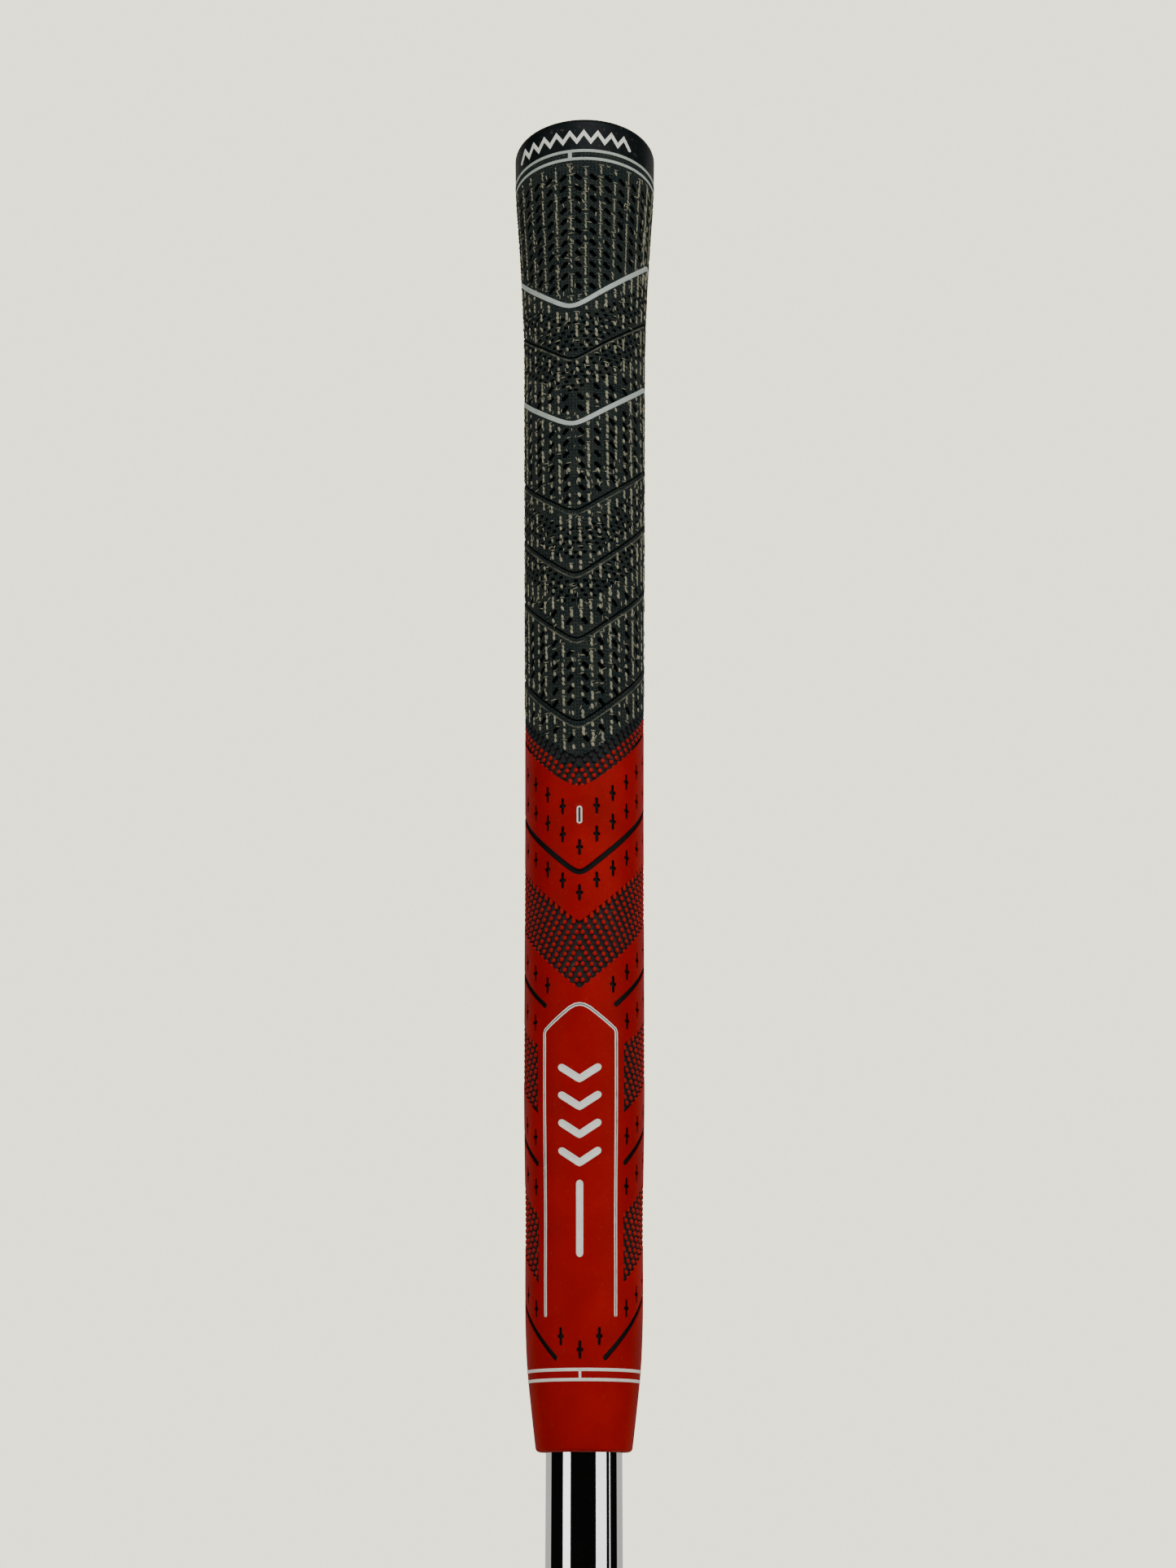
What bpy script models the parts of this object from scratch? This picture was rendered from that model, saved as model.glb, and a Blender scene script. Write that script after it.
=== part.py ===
"""Golf grip bonded to the butt end of a chromed steel shaft.

The shaft's axis is Z. The origin is the centre of the shaft's cut end, and the butt cap is at the top.
Lengths are in metres and angles in degrees. The grip's front faces -Y.
"""

import math

import bmesh
import bpy
from mathutils import Vector

# Shaft and tape
SHAFT_DIAMETER = 0.0140
SHAFT_WALL = 0.0006
SHAFT_EXPOSED = 0.0300
TAPE_THICKNESS = 0.0002
TAPE_BARE_END = 0.0030

# Grip: overall sizes and layers
GRIP_LENGTH = 0.2745
BOND_GAP = 0.0002
LOWER_SKIN = 0.0008
UPPER_SKIN = 0.0009
FABRIC_THICKNESS = 0.0004
CORE_START = 0.0140
COMPOUND_JOINT = 0.1300
COMPOUND_SLOPE = 0.93
CHEVRON_ROUNDING = 0.0030
FRONT_ANGLE_LOW = -4.0
FRONT_ANGLE_HIGH = -12.0
TWIST_START = 0.1500
TWIST_BELOW_TOP = 0.0420

# Wall of the whole grip over its bore: (distance from the mouth, wall)
LOWER_WALLS = (
    (0.0000, 0.00120),
    (0.0050, 0.00185),
    (0.0100, 0.00245),
    (0.0150, 0.00297),
    (0.0210, 0.00330),
    (0.0280, 0.00345),
    (0.0420, 0.00350),
    (0.0660, 0.00400),
    (0.1000, 0.00415),
    (0.1300, 0.00433),
)
# The same above the joint, measured down from the top: (distance from the top, wall)
UPPER_WALLS = (
    (0.0695, 0.00512),
    (0.0485, 0.00535),
    (0.0375, 0.00570),
    (0.0265, 0.00640),
    (0.0165, 0.00708),
    (0.0075, 0.00765),
    (0.0030, 0.00780),
)

# Butt cap
CAP_HEIGHT = 0.0081
CAP_ROOF = 0.0040
CAP_RIM_RADIUS = 0.0020
VENT_DIAMETER = 0.0035

# Paint-filled lines and marks
INLAY_DEPTH = 0.0003
PAINT_GAP = 0.00005
RING_WIDTH = 0.0008
RING_SPACING = 0.0019
RING_BELOW_CAP = 0.0002
TICK_WIDTH = 0.0007
TICK_SINK = 0.00008
CHEVRON_WIDTH = 0.0010
CHEVRON_SLOPE = 0.77
HIGH_CHEVRON_BELOW_TOP = 0.0447
LOW_CHEVRON_BELOW_TOP = 0.0719
COLLAR_RING_WIDTH = 0.0005
COLLAR_RING_HEIGHT = 0.0142
COLLAR_RING_SPACING = 0.0018
FRAME_LINE_WIDTH = 0.0009
FRAME_LINE_FOOT = 0.0235
FRAME_LINE_SHOULDER = 0.0766
FRAME_LINE_PEAK = 0.0816
FRAME_HALF_ANGLE = 36.0
ALIGNMENT_MARK_FOOT = 0.1169
ALIGNMENT_MARK_LENGTH = 0.0032
ALIGNMENT_MARK_WIDTH = 0.0011
ALIGNMENT_LINE_WIDTH = 0.0003
MARK_HALF_WIDTH = 0.0035
MARK_LINE_WIDTH = 0.0014
MARK_CHEVRON_COUNT = 4
MARK_CHEVRON_TOP = 0.0690
MARK_CHEVRON_PITCH = 0.0052
MARK_CHEVRON_RISE = 0.0022
MARK_BAR_TOP = 0.0480
MARK_BAR_FOOT = 0.0340
CAP_MARK_BELOW_TOP = 0.0052
CAP_MARK_HALF_HEIGHT = 0.0011
CAP_MARK_HALF_ANGLE = 51.0
CAP_MARK_WIDTH = 0.0009
CAP_MARK_TEETH = 9

# Facets
SEGMENTS = 36
RIM_STEPS = 4
SHARP_ANGLE = 35.0
CUTTER_PROUD = 0.0010

# How a strip's path ends
OPEN = "open"
OUTLINE = "outline"
ROUND_THE_GRIP = "round the grip"

# Worked out from the above
MOUTH = SHAFT_EXPOSED
TOP = MOUTH + GRIP_LENGTH
SHAFT_RADIUS = SHAFT_DIAMETER / 2
TAPE_BORE = SHAFT_RADIUS + BOND_GAP
TAPE_RADIUS = TAPE_BORE + TAPE_THICKNESS
GRIP_BORE = TAPE_RADIUS + BOND_GAP
CAP_FOOT = TOP - CAP_HEIGHT
SHAFT_TOP = TOP - CAP_ROOF - BOND_GAP
LOWER_DEPTH = LOWER_SKIN + BOND_GAP
FABRIC_DEPTH = UPPER_SKIN + BOND_GAP
UPPER_DEPTH = FABRIC_DEPTH + FABRIC_THICKNESS + BOND_GAP


def clear_scene():
    for obj in list(bpy.data.objects):
        bpy.data.objects.remove(obj, do_unlink=True)


def new_collection(name, hidden=False):
    collection = bpy.data.collections.new(name)
    collection.hide_render = hidden
    bpy.context.scene.collection.children.link(collection)
    return collection


def new_material(name, colour, roughness, metallic=0.0):
    material = bpy.data.materials.new(name)
    material.use_nodes = True
    shader = material.node_tree.nodes["Principled BSDF"]
    shader.inputs["Base Color"].default_value = (*colour, 1.0)
    shader.inputs["Roughness"].default_value = roughness
    shader.inputs["Metallic"].default_value = metallic
    material.diffuse_color = (*colour, 1.0)
    return material


def wall_stations():
    """(height, wall) from the mouth to the top of the cap's side."""
    low = [(MOUTH + height, wall) for height, wall in LOWER_WALLS]
    high = [(TOP - depth, wall) for depth, wall in UPPER_WALLS]
    return low + high


def outer_radius(z):
    """Radius of the grip's outside at height z."""
    stations = wall_stations()
    if z <= stations[0][0]:
        return GRIP_BORE + stations[0][1]
    for (z0, wall0), (z1, wall1) in zip(stations, stations[1:]):
        if z <= z1:
            share = (z - z0) / (z1 - z0)
            return GRIP_BORE + wall0 + share * (wall1 - wall0)
    return GRIP_BORE + stations[-1][1]


def front_angle(z):
    """Angle of the pattern's centre line, which turns a little towards the butt."""
    start = MOUTH + TWIST_START
    end = TOP - TWIST_BELOW_TOP
    share = min(max((z - start) / (end - start), 0.0), 1.0)
    return math.radians(FRONT_ANGLE_LOW + share * (FRONT_ANGLE_HIGH - FRONT_ANGLE_LOW))


def chevron_rise(angle, radius, slope):
    """Height of a chevron over its point: one V on the front and one on the back."""
    folded = abs(math.remainder(angle, math.pi))
    along = folded * radius
    return slope * (math.hypot(along, CHEVRON_ROUNDING) - CHEVRON_ROUNDING)


def on_grip(angle, z, depth=0.0):
    """Point of the grip's outside, angle measured from the front towards +X."""
    radius = outer_radius(z) - depth
    return (radius * math.sin(angle), -radius * math.cos(angle), z)


def new_object(name, mesh, collection, material=None):
    obj = bpy.data.objects.new(name, mesh)
    collection.objects.link(obj)
    if material:
        mesh.materials.append(material)
    return obj


def bake(obj):
    """Replaces the object's mesh with its evaluated one, and drops its modifiers."""
    bpy.context.view_layer.update()
    graph = bpy.context.evaluated_depsgraph_get()
    mesh = bpy.data.meshes.new_from_object(obj.evaluated_get(graph))
    obj.modifiers.clear()
    obj.data = mesh


def turned(name, outline, collection, material=None):
    """A turned solid from a closed outline of (radius, height), which starts down its outer side."""
    mesh = bpy.data.meshes.new(name)
    points = [(radius, 0.0, height) for radius, height in outline]
    edges = [(i, (i + 1) % len(points)) for i in range(len(points))]
    mesh.from_pydata(points, edges, [])
    obj = new_object(name, mesh, collection, material)
    screw = obj.modifiers.new("Turn", "SCREW")
    screw.steps = SEGMENTS
    screw.render_steps = SEGMENTS
    screw.use_merge_vertices = True
    screw.merge_threshold = 0.00001
    bake(obj)
    obj.data.shade_smooth()
    obj.data.set_sharp_from_angle(angle=math.radians(SHARP_ANGLE))
    return obj


def raise_to_chevron(obj, height):
    """Bends the flat end at this height up into a chevron, front and back."""
    for vertex in obj.data.vertices:
        x, y, z = vertex.co
        if abs(z - height) > BOND_GAP / 4:
            continue
        angle = math.atan2(x, -y)
        rise = chevron_rise(angle - front_angle(z), outer_radius(z), COMPOUND_SLOPE)
        radius = math.hypot(x, y) + outer_radius(z + rise) - outer_radius(z)
        vertex.co = (radius * math.sin(angle), -radius * math.cos(angle), z + rise)


def cut(obj, cutter):
    boolean = obj.modifiers.new("Cut " + cutter.name, "BOOLEAN")
    boolean.operation = "DIFFERENCE"
    boolean.solver = "EXACT"
    boolean.object = cutter


def outside_between(z_low, z_high, depth=0.0):
    """Outline points down the grip's outside, at this depth, between two heights."""
    heights = [z for z, _ in wall_stations() if z_low < z < z_high]
    heights = [z_high] + sorted(heights, reverse=True) + [z_low]
    return [(outer_radius(z) - depth, z) for z in heights]


def neighbours(flat, radii, loop):
    """The point before and the point after each point of a flat path."""
    if loop == OPEN:
        before_first = (2 * flat[0][0] - flat[1][0], 2 * flat[0][1] - flat[1][1])
        after_last = (2 * flat[-1][0] - flat[-2][0], 2 * flat[-1][1] - flat[-2][1])
    else:
        girth = 2 * math.pi if loop == ROUND_THE_GRIP else 0.0
        before_first = (flat[-1][0] - girth * radii[0], flat[-1][1])
        after_last = (flat[0][0] + girth * radii[-1], flat[0][1])
    return [before_first] + flat[:-1], flat[1:] + [after_last]


def mitre(before, here, after, half):
    """Sideways step from a path's point that keeps the strip's width on both of its legs."""
    arrive = Vector(here) - Vector(before)
    leave = Vector(after) - Vector(here)
    side = (arrive.normalized() + leave.normalized()).orthogonal()
    return side.normalized() * half * 2 / side.length


def strip_mesh(name, path, width, over, under, loop):
    """A rectangular strip laid along a path of (angle, height) on the grip's outside.

    It reaches from over above the surface to under below it.
    """
    radii = [outer_radius(z) for _, z in path]
    flat = [(angle * radius, z) for (angle, z), radius in zip(path, radii)]
    before, after = neighbours(flat, radii, loop)
    bm = bmesh.new()
    sections = []
    for i, (angle, z) in enumerate(path):
        across = mitre(before[i], flat[i], after[i], width / 2)
        section = []
        for sign, depth in ((1, -over), (-1, -over), (-1, under), (1, under)):
            turn = sign * across.x / radii[i]
            point = on_grip(angle + turn, z + sign * across.y, depth)
            section.append(bm.verts.new(point))
        sections.append(section)
    pairs = list(zip(sections, sections[1:]))
    if loop == OPEN:
        bm.faces.new(sections[0])
        bm.faces.new(sections[-1])
    else:
        pairs.append((sections[-1], sections[0]))
    for here, there in pairs:
        for k in range(4):
            bm.faces.new((here[k], there[k], there[k - 3], here[k - 3]))
    bmesh.ops.recalc_face_normals(bm, faces=bm.faces)
    mesh = bpy.data.meshes.new(name)
    bm.to_mesh(mesh)
    bm.free()
    return mesh


def inlay(name, path, width, loop, seat, parts, cutters, material, sink=0.0):
    """A paint-filled line, and its groove in the piece that it is set in.

    Sink is how far a line that crosses others lies below their faces and above their floors.
    """
    depth = INLAY_DEPTH - sink
    mesh = strip_mesh(name, path, width, -sink, depth, loop)
    obj = new_object(name, mesh, parts, material)
    groove_name = name + "_groove"
    groove_width = width + 2 * PAINT_GAP
    groove_depth = depth + PAINT_GAP
    groove = strip_mesh(groove_name, path, groove_width, CUTTER_PROUD, groove_depth, loop)
    cutter = new_object(groove_name, groove, cutters)
    cutter.display_type = "WIRE"
    cutter.hide_render = True
    cut(seat, cutter)
    return obj


def join_to(obj, other, parts, cutters):
    """Makes another strip part of this one."""
    parts.objects.unlink(other)
    cutters.objects.link(other)
    other.display_type = "WIRE"
    other.hide_render = True
    union = obj.modifiers.new("Join " + other.name, "BOOLEAN")
    union.operation = "UNION"
    union.solver = "EXACT"
    union.object = other


def ring_path(z):
    """A level ring, whose corners lie half a facet away from the sleeve's."""
    return [(2 * math.pi * (i + 0.5) / SEGMENTS, z) for i in range(SEGMENTS)]


def chevron_path(z, slope):
    """A closed zigzag: down at the front, up at the side, down at the back, up again."""
    path = []
    for i in range(SEGMENTS):
        angle = 2 * math.pi * i / SEGMENTS
        rise = chevron_rise(angle, outer_radius(z), slope)
        path.append((angle + front_angle(z), z + rise))
    return path


def make_shaft(parts, material):
    inner = SHAFT_RADIUS - SHAFT_WALL
    outline = [
        (SHAFT_RADIUS, SHAFT_TOP),
        (SHAFT_RADIUS, 0.0),
        (inner, 0.0),
        (inner, SHAFT_TOP),
    ]
    return turned("shaft", outline, parts, material)


def make_tape(parts, material):
    top = SHAFT_TOP - BOND_GAP
    foot = MOUTH + TAPE_BARE_END
    outline = [
        (TAPE_RADIUS, top),
        (TAPE_RADIUS, foot),
        (TAPE_BORE, foot),
        (TAPE_BORE, top),
    ]
    return turned("grip_tape", outline, parts, material)


def make_core(parts, material):
    """The inner sleeve, one step thinner where the corded half lies on it."""
    foot = MOUTH + CORE_START
    step = MOUTH + COMPOUND_JOINT - BOND_GAP
    top = CAP_FOOT - BOND_GAP
    outline = outside_between(step, top, UPPER_DEPTH)
    outline += outside_between(foot, step, LOWER_DEPTH)
    outline += [(GRIP_BORE, foot), (GRIP_BORE, top)]
    return turned("core_sleeve", outline, parts, material)


def make_fabric(parts, material):
    foot = MOUTH + COMPOUND_JOINT + BOND_GAP
    top = CAP_FOOT - BOND_GAP
    outline = outside_between(foot, top, FABRIC_DEPTH)
    inner_side = outside_between(foot, top, FABRIC_DEPTH + FABRIC_THICKNESS)
    outline += reversed(inner_side)
    fabric = turned("cord_fabric", outline, parts, material)
    raise_to_chevron(fabric, foot)
    return fabric


def make_upper_sleeve(parts, material):
    foot = MOUTH + COMPOUND_JOINT + BOND_GAP
    top = CAP_FOOT - BOND_GAP
    outline = outside_between(foot, top)
    inner_side = outside_between(foot, top, UPPER_SKIN)
    outline += reversed(inner_side)
    sleeve = turned("upper_cord_sleeve", outline, parts, material)
    raise_to_chevron(sleeve, foot)
    return sleeve


def make_lower_sleeve(parts, material):
    """The lower sleeve, whose thick collar grips the tape below the core."""
    top = MOUTH + COMPOUND_JOINT
    collar = MOUTH + CORE_START - BOND_GAP
    outline = outside_between(MOUTH, top)
    outline += [(GRIP_BORE, MOUTH), (GRIP_BORE, collar)]
    inner_side = outside_between(collar, top, LOWER_SKIN)
    outline += reversed(inner_side)
    sleeve = turned("lower_rubber_sleeve", outline, parts, material)
    raise_to_chevron(sleeve, top)
    return sleeve


def make_cap(parts, material):
    """The butt cap: a cup over the shaft's end, with a vent hole in its roof."""
    side = outer_radius(TOP - CAP_RIM_RADIUS)
    outline = [(VENT_DIAMETER / 2, TOP)]
    for i in range(RIM_STEPS + 1):
        angle = math.pi / 2 * (1 - i / RIM_STEPS)
        radius = side - CAP_RIM_RADIUS * (1 - math.cos(angle))
        height = TOP - CAP_RIM_RADIUS * (1 - math.sin(angle))
        outline.append((radius, height))
    outline += outside_between(CAP_FOOT, TOP - CAP_RIM_RADIUS)[1:]
    outline += [
        (GRIP_BORE, CAP_FOOT),
        (GRIP_BORE, TOP - CAP_ROOF),
        (VENT_DIAMETER / 2, TOP - CAP_ROOF),
    ]
    return turned("butt_cap", outline, parts, material)


def ring_pair(name, z_high, spacing, width, seat, parts, cutters, material):
    """Two painted rings joined by a short tick on the front."""
    z_low = z_high - spacing
    middle = front_angle(z_high)
    tick_path = [(middle, z_low), (middle, z_high)]
    strips = (
        (name, ring_path(z_high), width, ROUND_THE_GRIP, 0.0),
        (name + "_low", ring_path(z_low), width, ROUND_THE_GRIP, 0.0),
        (name + "_tick", tick_path, TICK_WIDTH, OPEN, TICK_SINK),
    )
    pair = [
        inlay(label, path, wide, loop, seat, parts, cutters, material, sink)
        for label, path, wide, loop, sink in strips
    ]
    for other in pair[1:]:
        join_to(pair[0], other, parts, cutters)


def make_rings(upper, lower, parts, cutters, pale, white):
    cap_ring = CAP_FOOT - RING_BELOW_CAP - BOND_GAP - RING_WIDTH / 2
    ring_pair(
        "cap_ring_inlay", cap_ring, RING_SPACING, RING_WIDTH, upper, parts, cutters, pale
    )
    ring_pair(
        "collar_ring_inlay",
        MOUTH + COLLAR_RING_HEIGHT,
        COLLAR_RING_SPACING,
        COLLAR_RING_WIDTH,
        lower,
        parts,
        cutters,
        white,
    )


def make_chevrons(upper, parts, cutters, material):
    places = {
        "high_chevron_inlay": TOP - HIGH_CHEVRON_BELOW_TOP,
        "low_chevron_inlay": TOP - LOW_CHEVRON_BELOW_TOP,
    }
    for name, z in places.items():
        path = chevron_path(z, CHEVRON_SLOPE)
        inlay(name, path, CHEVRON_WIDTH, ROUND_THE_GRIP, upper, parts, cutters, material)


def make_frame_line(lower, parts, cutters, material):
    """The pointed line, open at its foot, round the mark's field."""
    middle = front_angle(MOUTH)
    side = math.radians(FRAME_HALF_ANGLE)
    foot = MOUTH + FRAME_LINE_FOOT
    shoulder = MOUTH + FRAME_LINE_SHOULDER
    peak = MOUTH + FRAME_LINE_PEAK
    leg_steps = 4
    roof_steps = 4
    left_leg = [
        (middle - side, foot + (shoulder - foot) * i / leg_steps) for i in range(leg_steps)
    ]
    left_roof = [
        (middle - side * (1 - i / roof_steps), shoulder + (peak - shoulder) * i / roof_steps)
        for i in range(roof_steps)
    ]
    left = left_leg + left_roof
    right = [(2 * middle - angle, z) for angle, z in reversed(left)]
    path = left + [(middle, peak)] + right
    inlay("frame_line_inlay", path, FRAME_LINE_WIDTH, OPEN, lower, parts, cutters, material)


def make_alignment_mark(lower, parts, cutters, material):
    """A slim painted outline on the front, above the long groove."""
    foot = MOUTH + ALIGNMENT_MARK_FOOT + ALIGNMENT_LINE_WIDTH / 2
    head = foot + ALIGNMENT_MARK_LENGTH - ALIGNMENT_LINE_WIDTH
    middle = front_angle(foot)
    half = (ALIGNMENT_MARK_WIDTH - ALIGNMENT_LINE_WIDTH) / 2 / outer_radius(foot)
    path = [
        (middle - half, head),
        (middle - half, foot),
        (middle + half, foot),
        (middle + half, head),
    ]
    width = ALIGNMENT_LINE_WIDTH
    inlay("alignment_mark_inlay", path, width, OUTLINE, lower, parts, cutters, material)


def make_marks(lower, parts, cutters, material):
    """Plain chevrons over a bar, inside the frame line."""
    middle = front_angle(MOUTH)
    for i in range(MARK_CHEVRON_COUNT):
        z = MOUTH + MARK_CHEVRON_TOP - i * MARK_CHEVRON_PITCH
        half = MARK_HALF_WIDTH / outer_radius(z)
        path = [
            (middle - half, z),
            (middle, z - MARK_CHEVRON_RISE),
            (middle + half, z),
        ]
        name = f"mark_chevron_{i + 1}_inlay"
        inlay(name, path, MARK_LINE_WIDTH, OPEN, lower, parts, cutters, material)
    path = [(middle, MOUTH + MARK_BAR_FOOT), (middle, MOUTH + MARK_BAR_TOP)]
    inlay("mark_bar_inlay", path, MARK_LINE_WIDTH, OPEN, lower, parts, cutters, material)


def make_cap_mark(cap, parts, cutters, material):
    """A plain zigzag line round the cap's front."""
    z = TOP - CAP_MARK_BELOW_TOP
    middle = front_angle(TOP)
    span = math.radians(CAP_MARK_HALF_ANGLE)
    path = []
    for i in range(2 * CAP_MARK_TEETH + 1):
        angle = middle - span + 2 * span * i / (2 * CAP_MARK_TEETH)
        path.append((angle, z + (CAP_MARK_HALF_HEIGHT if i % 2 else -CAP_MARK_HALF_HEIGHT)))
    inlay("cap_mark_inlay", path, CAP_MARK_WIDTH, OPEN, cap, parts, cutters, material)


def main():
    clear_scene()
    parts = new_collection("golf_grip")
    cutters = new_collection("cutters", hidden=True)
    chrome = new_material("chrome", (0.75, 0.75, 0.77), 0.08, 1.0)
    tape = new_material("tape", (0.80, 0.76, 0.64), 0.85)
    core_rubber = new_material("core_rubber", (0.05, 0.05, 0.055), 0.8)
    cotton = new_material("cotton_cord", (0.55, 0.50, 0.38), 0.95)
    black_rubber = new_material("black_rubber", (0.03, 0.04, 0.045), 0.75)
    red_rubber = new_material("red_rubber", (0.55, 0.03, 0.015), 0.55)
    cap_rubber = new_material("cap_rubber", (0.015, 0.018, 0.02), 0.6)
    pale_paint = new_material("pale_paint", (0.55, 0.58, 0.54), 0.6)
    white_paint = new_material("white_paint", (0.78, 0.80, 0.78), 0.55)

    make_shaft(parts, chrome)
    make_tape(parts, tape)
    make_core(parts, core_rubber)
    make_fabric(parts, cotton)
    upper = make_upper_sleeve(parts, black_rubber)
    lower = make_lower_sleeve(parts, red_rubber)
    cap = make_cap(parts, cap_rubber)
    make_rings(upper, lower, parts, cutters, pale_paint, white_paint)
    make_chevrons(upper, parts, cutters, pale_paint)
    make_frame_line(lower, parts, cutters, white_paint)
    make_alignment_mark(lower, parts, cutters, white_paint)
    make_marks(lower, parts, cutters, white_paint)
    make_cap_mark(cap, parts, cutters, white_paint)


main()
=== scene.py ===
import math
import random

import bpy
import numpy as np
from bpy.props import FloatProperty, FloatVectorProperty, IntProperty, PointerProperty
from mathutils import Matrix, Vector


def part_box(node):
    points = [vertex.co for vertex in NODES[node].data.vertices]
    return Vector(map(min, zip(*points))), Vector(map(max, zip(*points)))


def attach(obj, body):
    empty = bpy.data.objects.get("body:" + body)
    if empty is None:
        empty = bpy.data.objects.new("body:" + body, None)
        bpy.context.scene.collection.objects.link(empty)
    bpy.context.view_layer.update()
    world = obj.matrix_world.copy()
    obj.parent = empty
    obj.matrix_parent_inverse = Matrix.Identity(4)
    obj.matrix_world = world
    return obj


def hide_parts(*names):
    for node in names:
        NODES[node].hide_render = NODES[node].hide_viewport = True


bl_info = {
    "name": "Corded Golf Grip",
    "version": (1, 0, 0),
    "blender": (4, 5, 0),
    "location": "View3D > Sidebar > Golf Grip",
    "description": "A two-part golf grip, red rubber below and cord above, on its shaft",
    "category": "Object",
}

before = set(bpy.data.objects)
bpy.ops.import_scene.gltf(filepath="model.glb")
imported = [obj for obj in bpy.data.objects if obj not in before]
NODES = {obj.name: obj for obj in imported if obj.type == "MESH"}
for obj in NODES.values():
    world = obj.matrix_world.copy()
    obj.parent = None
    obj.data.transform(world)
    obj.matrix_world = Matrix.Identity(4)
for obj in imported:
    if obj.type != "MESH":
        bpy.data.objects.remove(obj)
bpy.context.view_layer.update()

# Places on the grip, in millimetres above its mouth, come from the solids.
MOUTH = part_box("lower_rubber_sleeve")[0].z
CAP_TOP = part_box("butt_cap")[1].z
CAP_FOOT = (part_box("butt_cap")[0].z - MOUTH) * 1000
GRIP_TOP = (CAP_TOP - MOUTH) * 1000
SHAFT_LOW, SHAFT_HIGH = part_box("shaft")
CAP_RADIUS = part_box("butt_cap")[1].x * 1000

# The skins are modelled flat, in millimetres, and then wrapped round the grip. Across a
# flat skin, x is the turn from the front times the skin's millimetres for each degree.
LOWER_MM_PER_DEGREE = math.radians(11.7)
UPPER_MM_PER_DEGREE = math.radians(13.0)
HALF_TURN = 180.0
QUARTER_TURN = 90.0
OVERLAP_TURN = 181.0  # a cutter runs a little past the seam at the back
COLUMN_STEP = 3.0
PROUD = 0.3  # how far a cutter stands above the skin
THROUGH = -1.2  # a cutter's floor, well below the skin
PEAK_ROUNDING = 2.5
MOUTH_ROLL = 0.7
BROAD_MARK = 1.2  # a painted mark wider than this has a raised rim

# The outline is read at even stations and then smoothed.
STATION, STATION_REACH, SMOOTHING = 2.0, 1.6, 9
LEAST_RADIUS = 8.3  # anything nearer the axis is the wall of a bore


# ---------------------------------------------------------------- the grip's outline


def read_outline():
    """Radius of the grip's outside against height, from the solids' corners."""
    heights, radii = [], []
    for name in ("lower_rubber_sleeve", "upper_cord_sleeve", "butt_cap"):
        for vertex in NODES[name].data.vertices:
            heights.append((vertex.co.z - MOUTH) * 1000)
            radii.append(math.hypot(vertex.co.x, vertex.co.y) * 1000)
    heights, radii = np.array(heights), np.array(radii)
    stations, widest = [], []
    for station in np.arange(0.0, GRIP_TOP, STATION):
        near = np.abs(heights - station) < STATION_REACH
        if near.any() and radii[near].max() > LEAST_RADIUS:
            stations.append(station)
            widest.append(radii[near].max())
    even = np.arange(0.0, GRIP_TOP, 1.0)
    level = np.interp(even, stations, widest)
    padded = np.pad(level, SMOOTHING // 2, mode="reflect", reflect_type="odd")
    return even, np.convolve(padded, np.ones(SMOOTHING) / SMOOTHING, mode="valid")


OUTLINE = read_outline()


def skin_radius(y):
    """Radius of the skin's outside, with the mouth's edge rolled in."""
    into_roll = np.clip((MOUTH_ROLL - np.asarray(y)) / MOUTH_ROLL, 0.0, 1.0)
    roll = MOUTH_ROLL * (1 - np.sqrt(1 - into_roll**2))
    return np.interp(y, OUTLINE[0], OUTLINE[1]) - roll


def pattern_centre(y):
    """The pattern's centre line, in degrees, turns a little towards the butt."""
    heights = (0, 120, 155, 183, 205, 232, GRIP_TOP)
    return np.interp(y, heights, (-4, -4.6, -7, -9.3, -11, -12, -12))


def vee(angle, slope, rounding):
    """Height of a chevron over its point: a V on the front and another on the back."""
    folded = abs(math.remainder(angle, HALF_TURN))
    half = QUARTER_TURN / 2

    def climb(turn, radius):
        return math.hypot(turn, radius) - radius

    if folded <= half:
        return slope * climb(folded, rounding)
    rest = climb(half, PEAK_ROUNDING) - climb(QUARTER_TURN - folded, PEAK_ROUNDING)
    return slope * (climb(half, rounding) + rest)


# ---------------------------------------------------------------- modelling helpers


def deselect_all():
    if bpy.context.object and bpy.context.object.mode != "OBJECT":
        bpy.ops.object.mode_set(mode="OBJECT")
    for obj in bpy.context.selected_objects:
        obj.select_set(False)


def make_active(obj):
    deselect_all()
    obj.select_set(True)
    bpy.context.view_layer.objects.active = obj


def edit(obj, choose="SELECT"):
    make_active(obj)
    bpy.ops.object.mode_set(mode="EDIT")
    bpy.ops.mesh.select_all(action=choose)


def done():
    bpy.ops.object.mode_set(mode="OBJECT")


def choose_faces(obj, wanted):
    """Select the faces that pass a test, and leave the piece in edit mode."""
    bpy.context.tool_settings.mesh_select_mode = (False, False, True)
    edit(obj, "DESELECT")
    done()
    for face in obj.data.polygons:
        face.select = wanted(face)
    bpy.ops.object.mode_set(mode="EDIT")


def places_of(mesh):
    return np.array([vertex.co[:] for vertex in mesh.vertices])


def apply_modifier(obj, kind, **settings):
    make_active(obj)
    modifier = obj.modifiers.new(kind.title(), kind)
    for key, value in settings.items():
        setattr(modifier, key, value)
    bpy.ops.object.modifier_apply(modifier=modifier.name)


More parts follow.
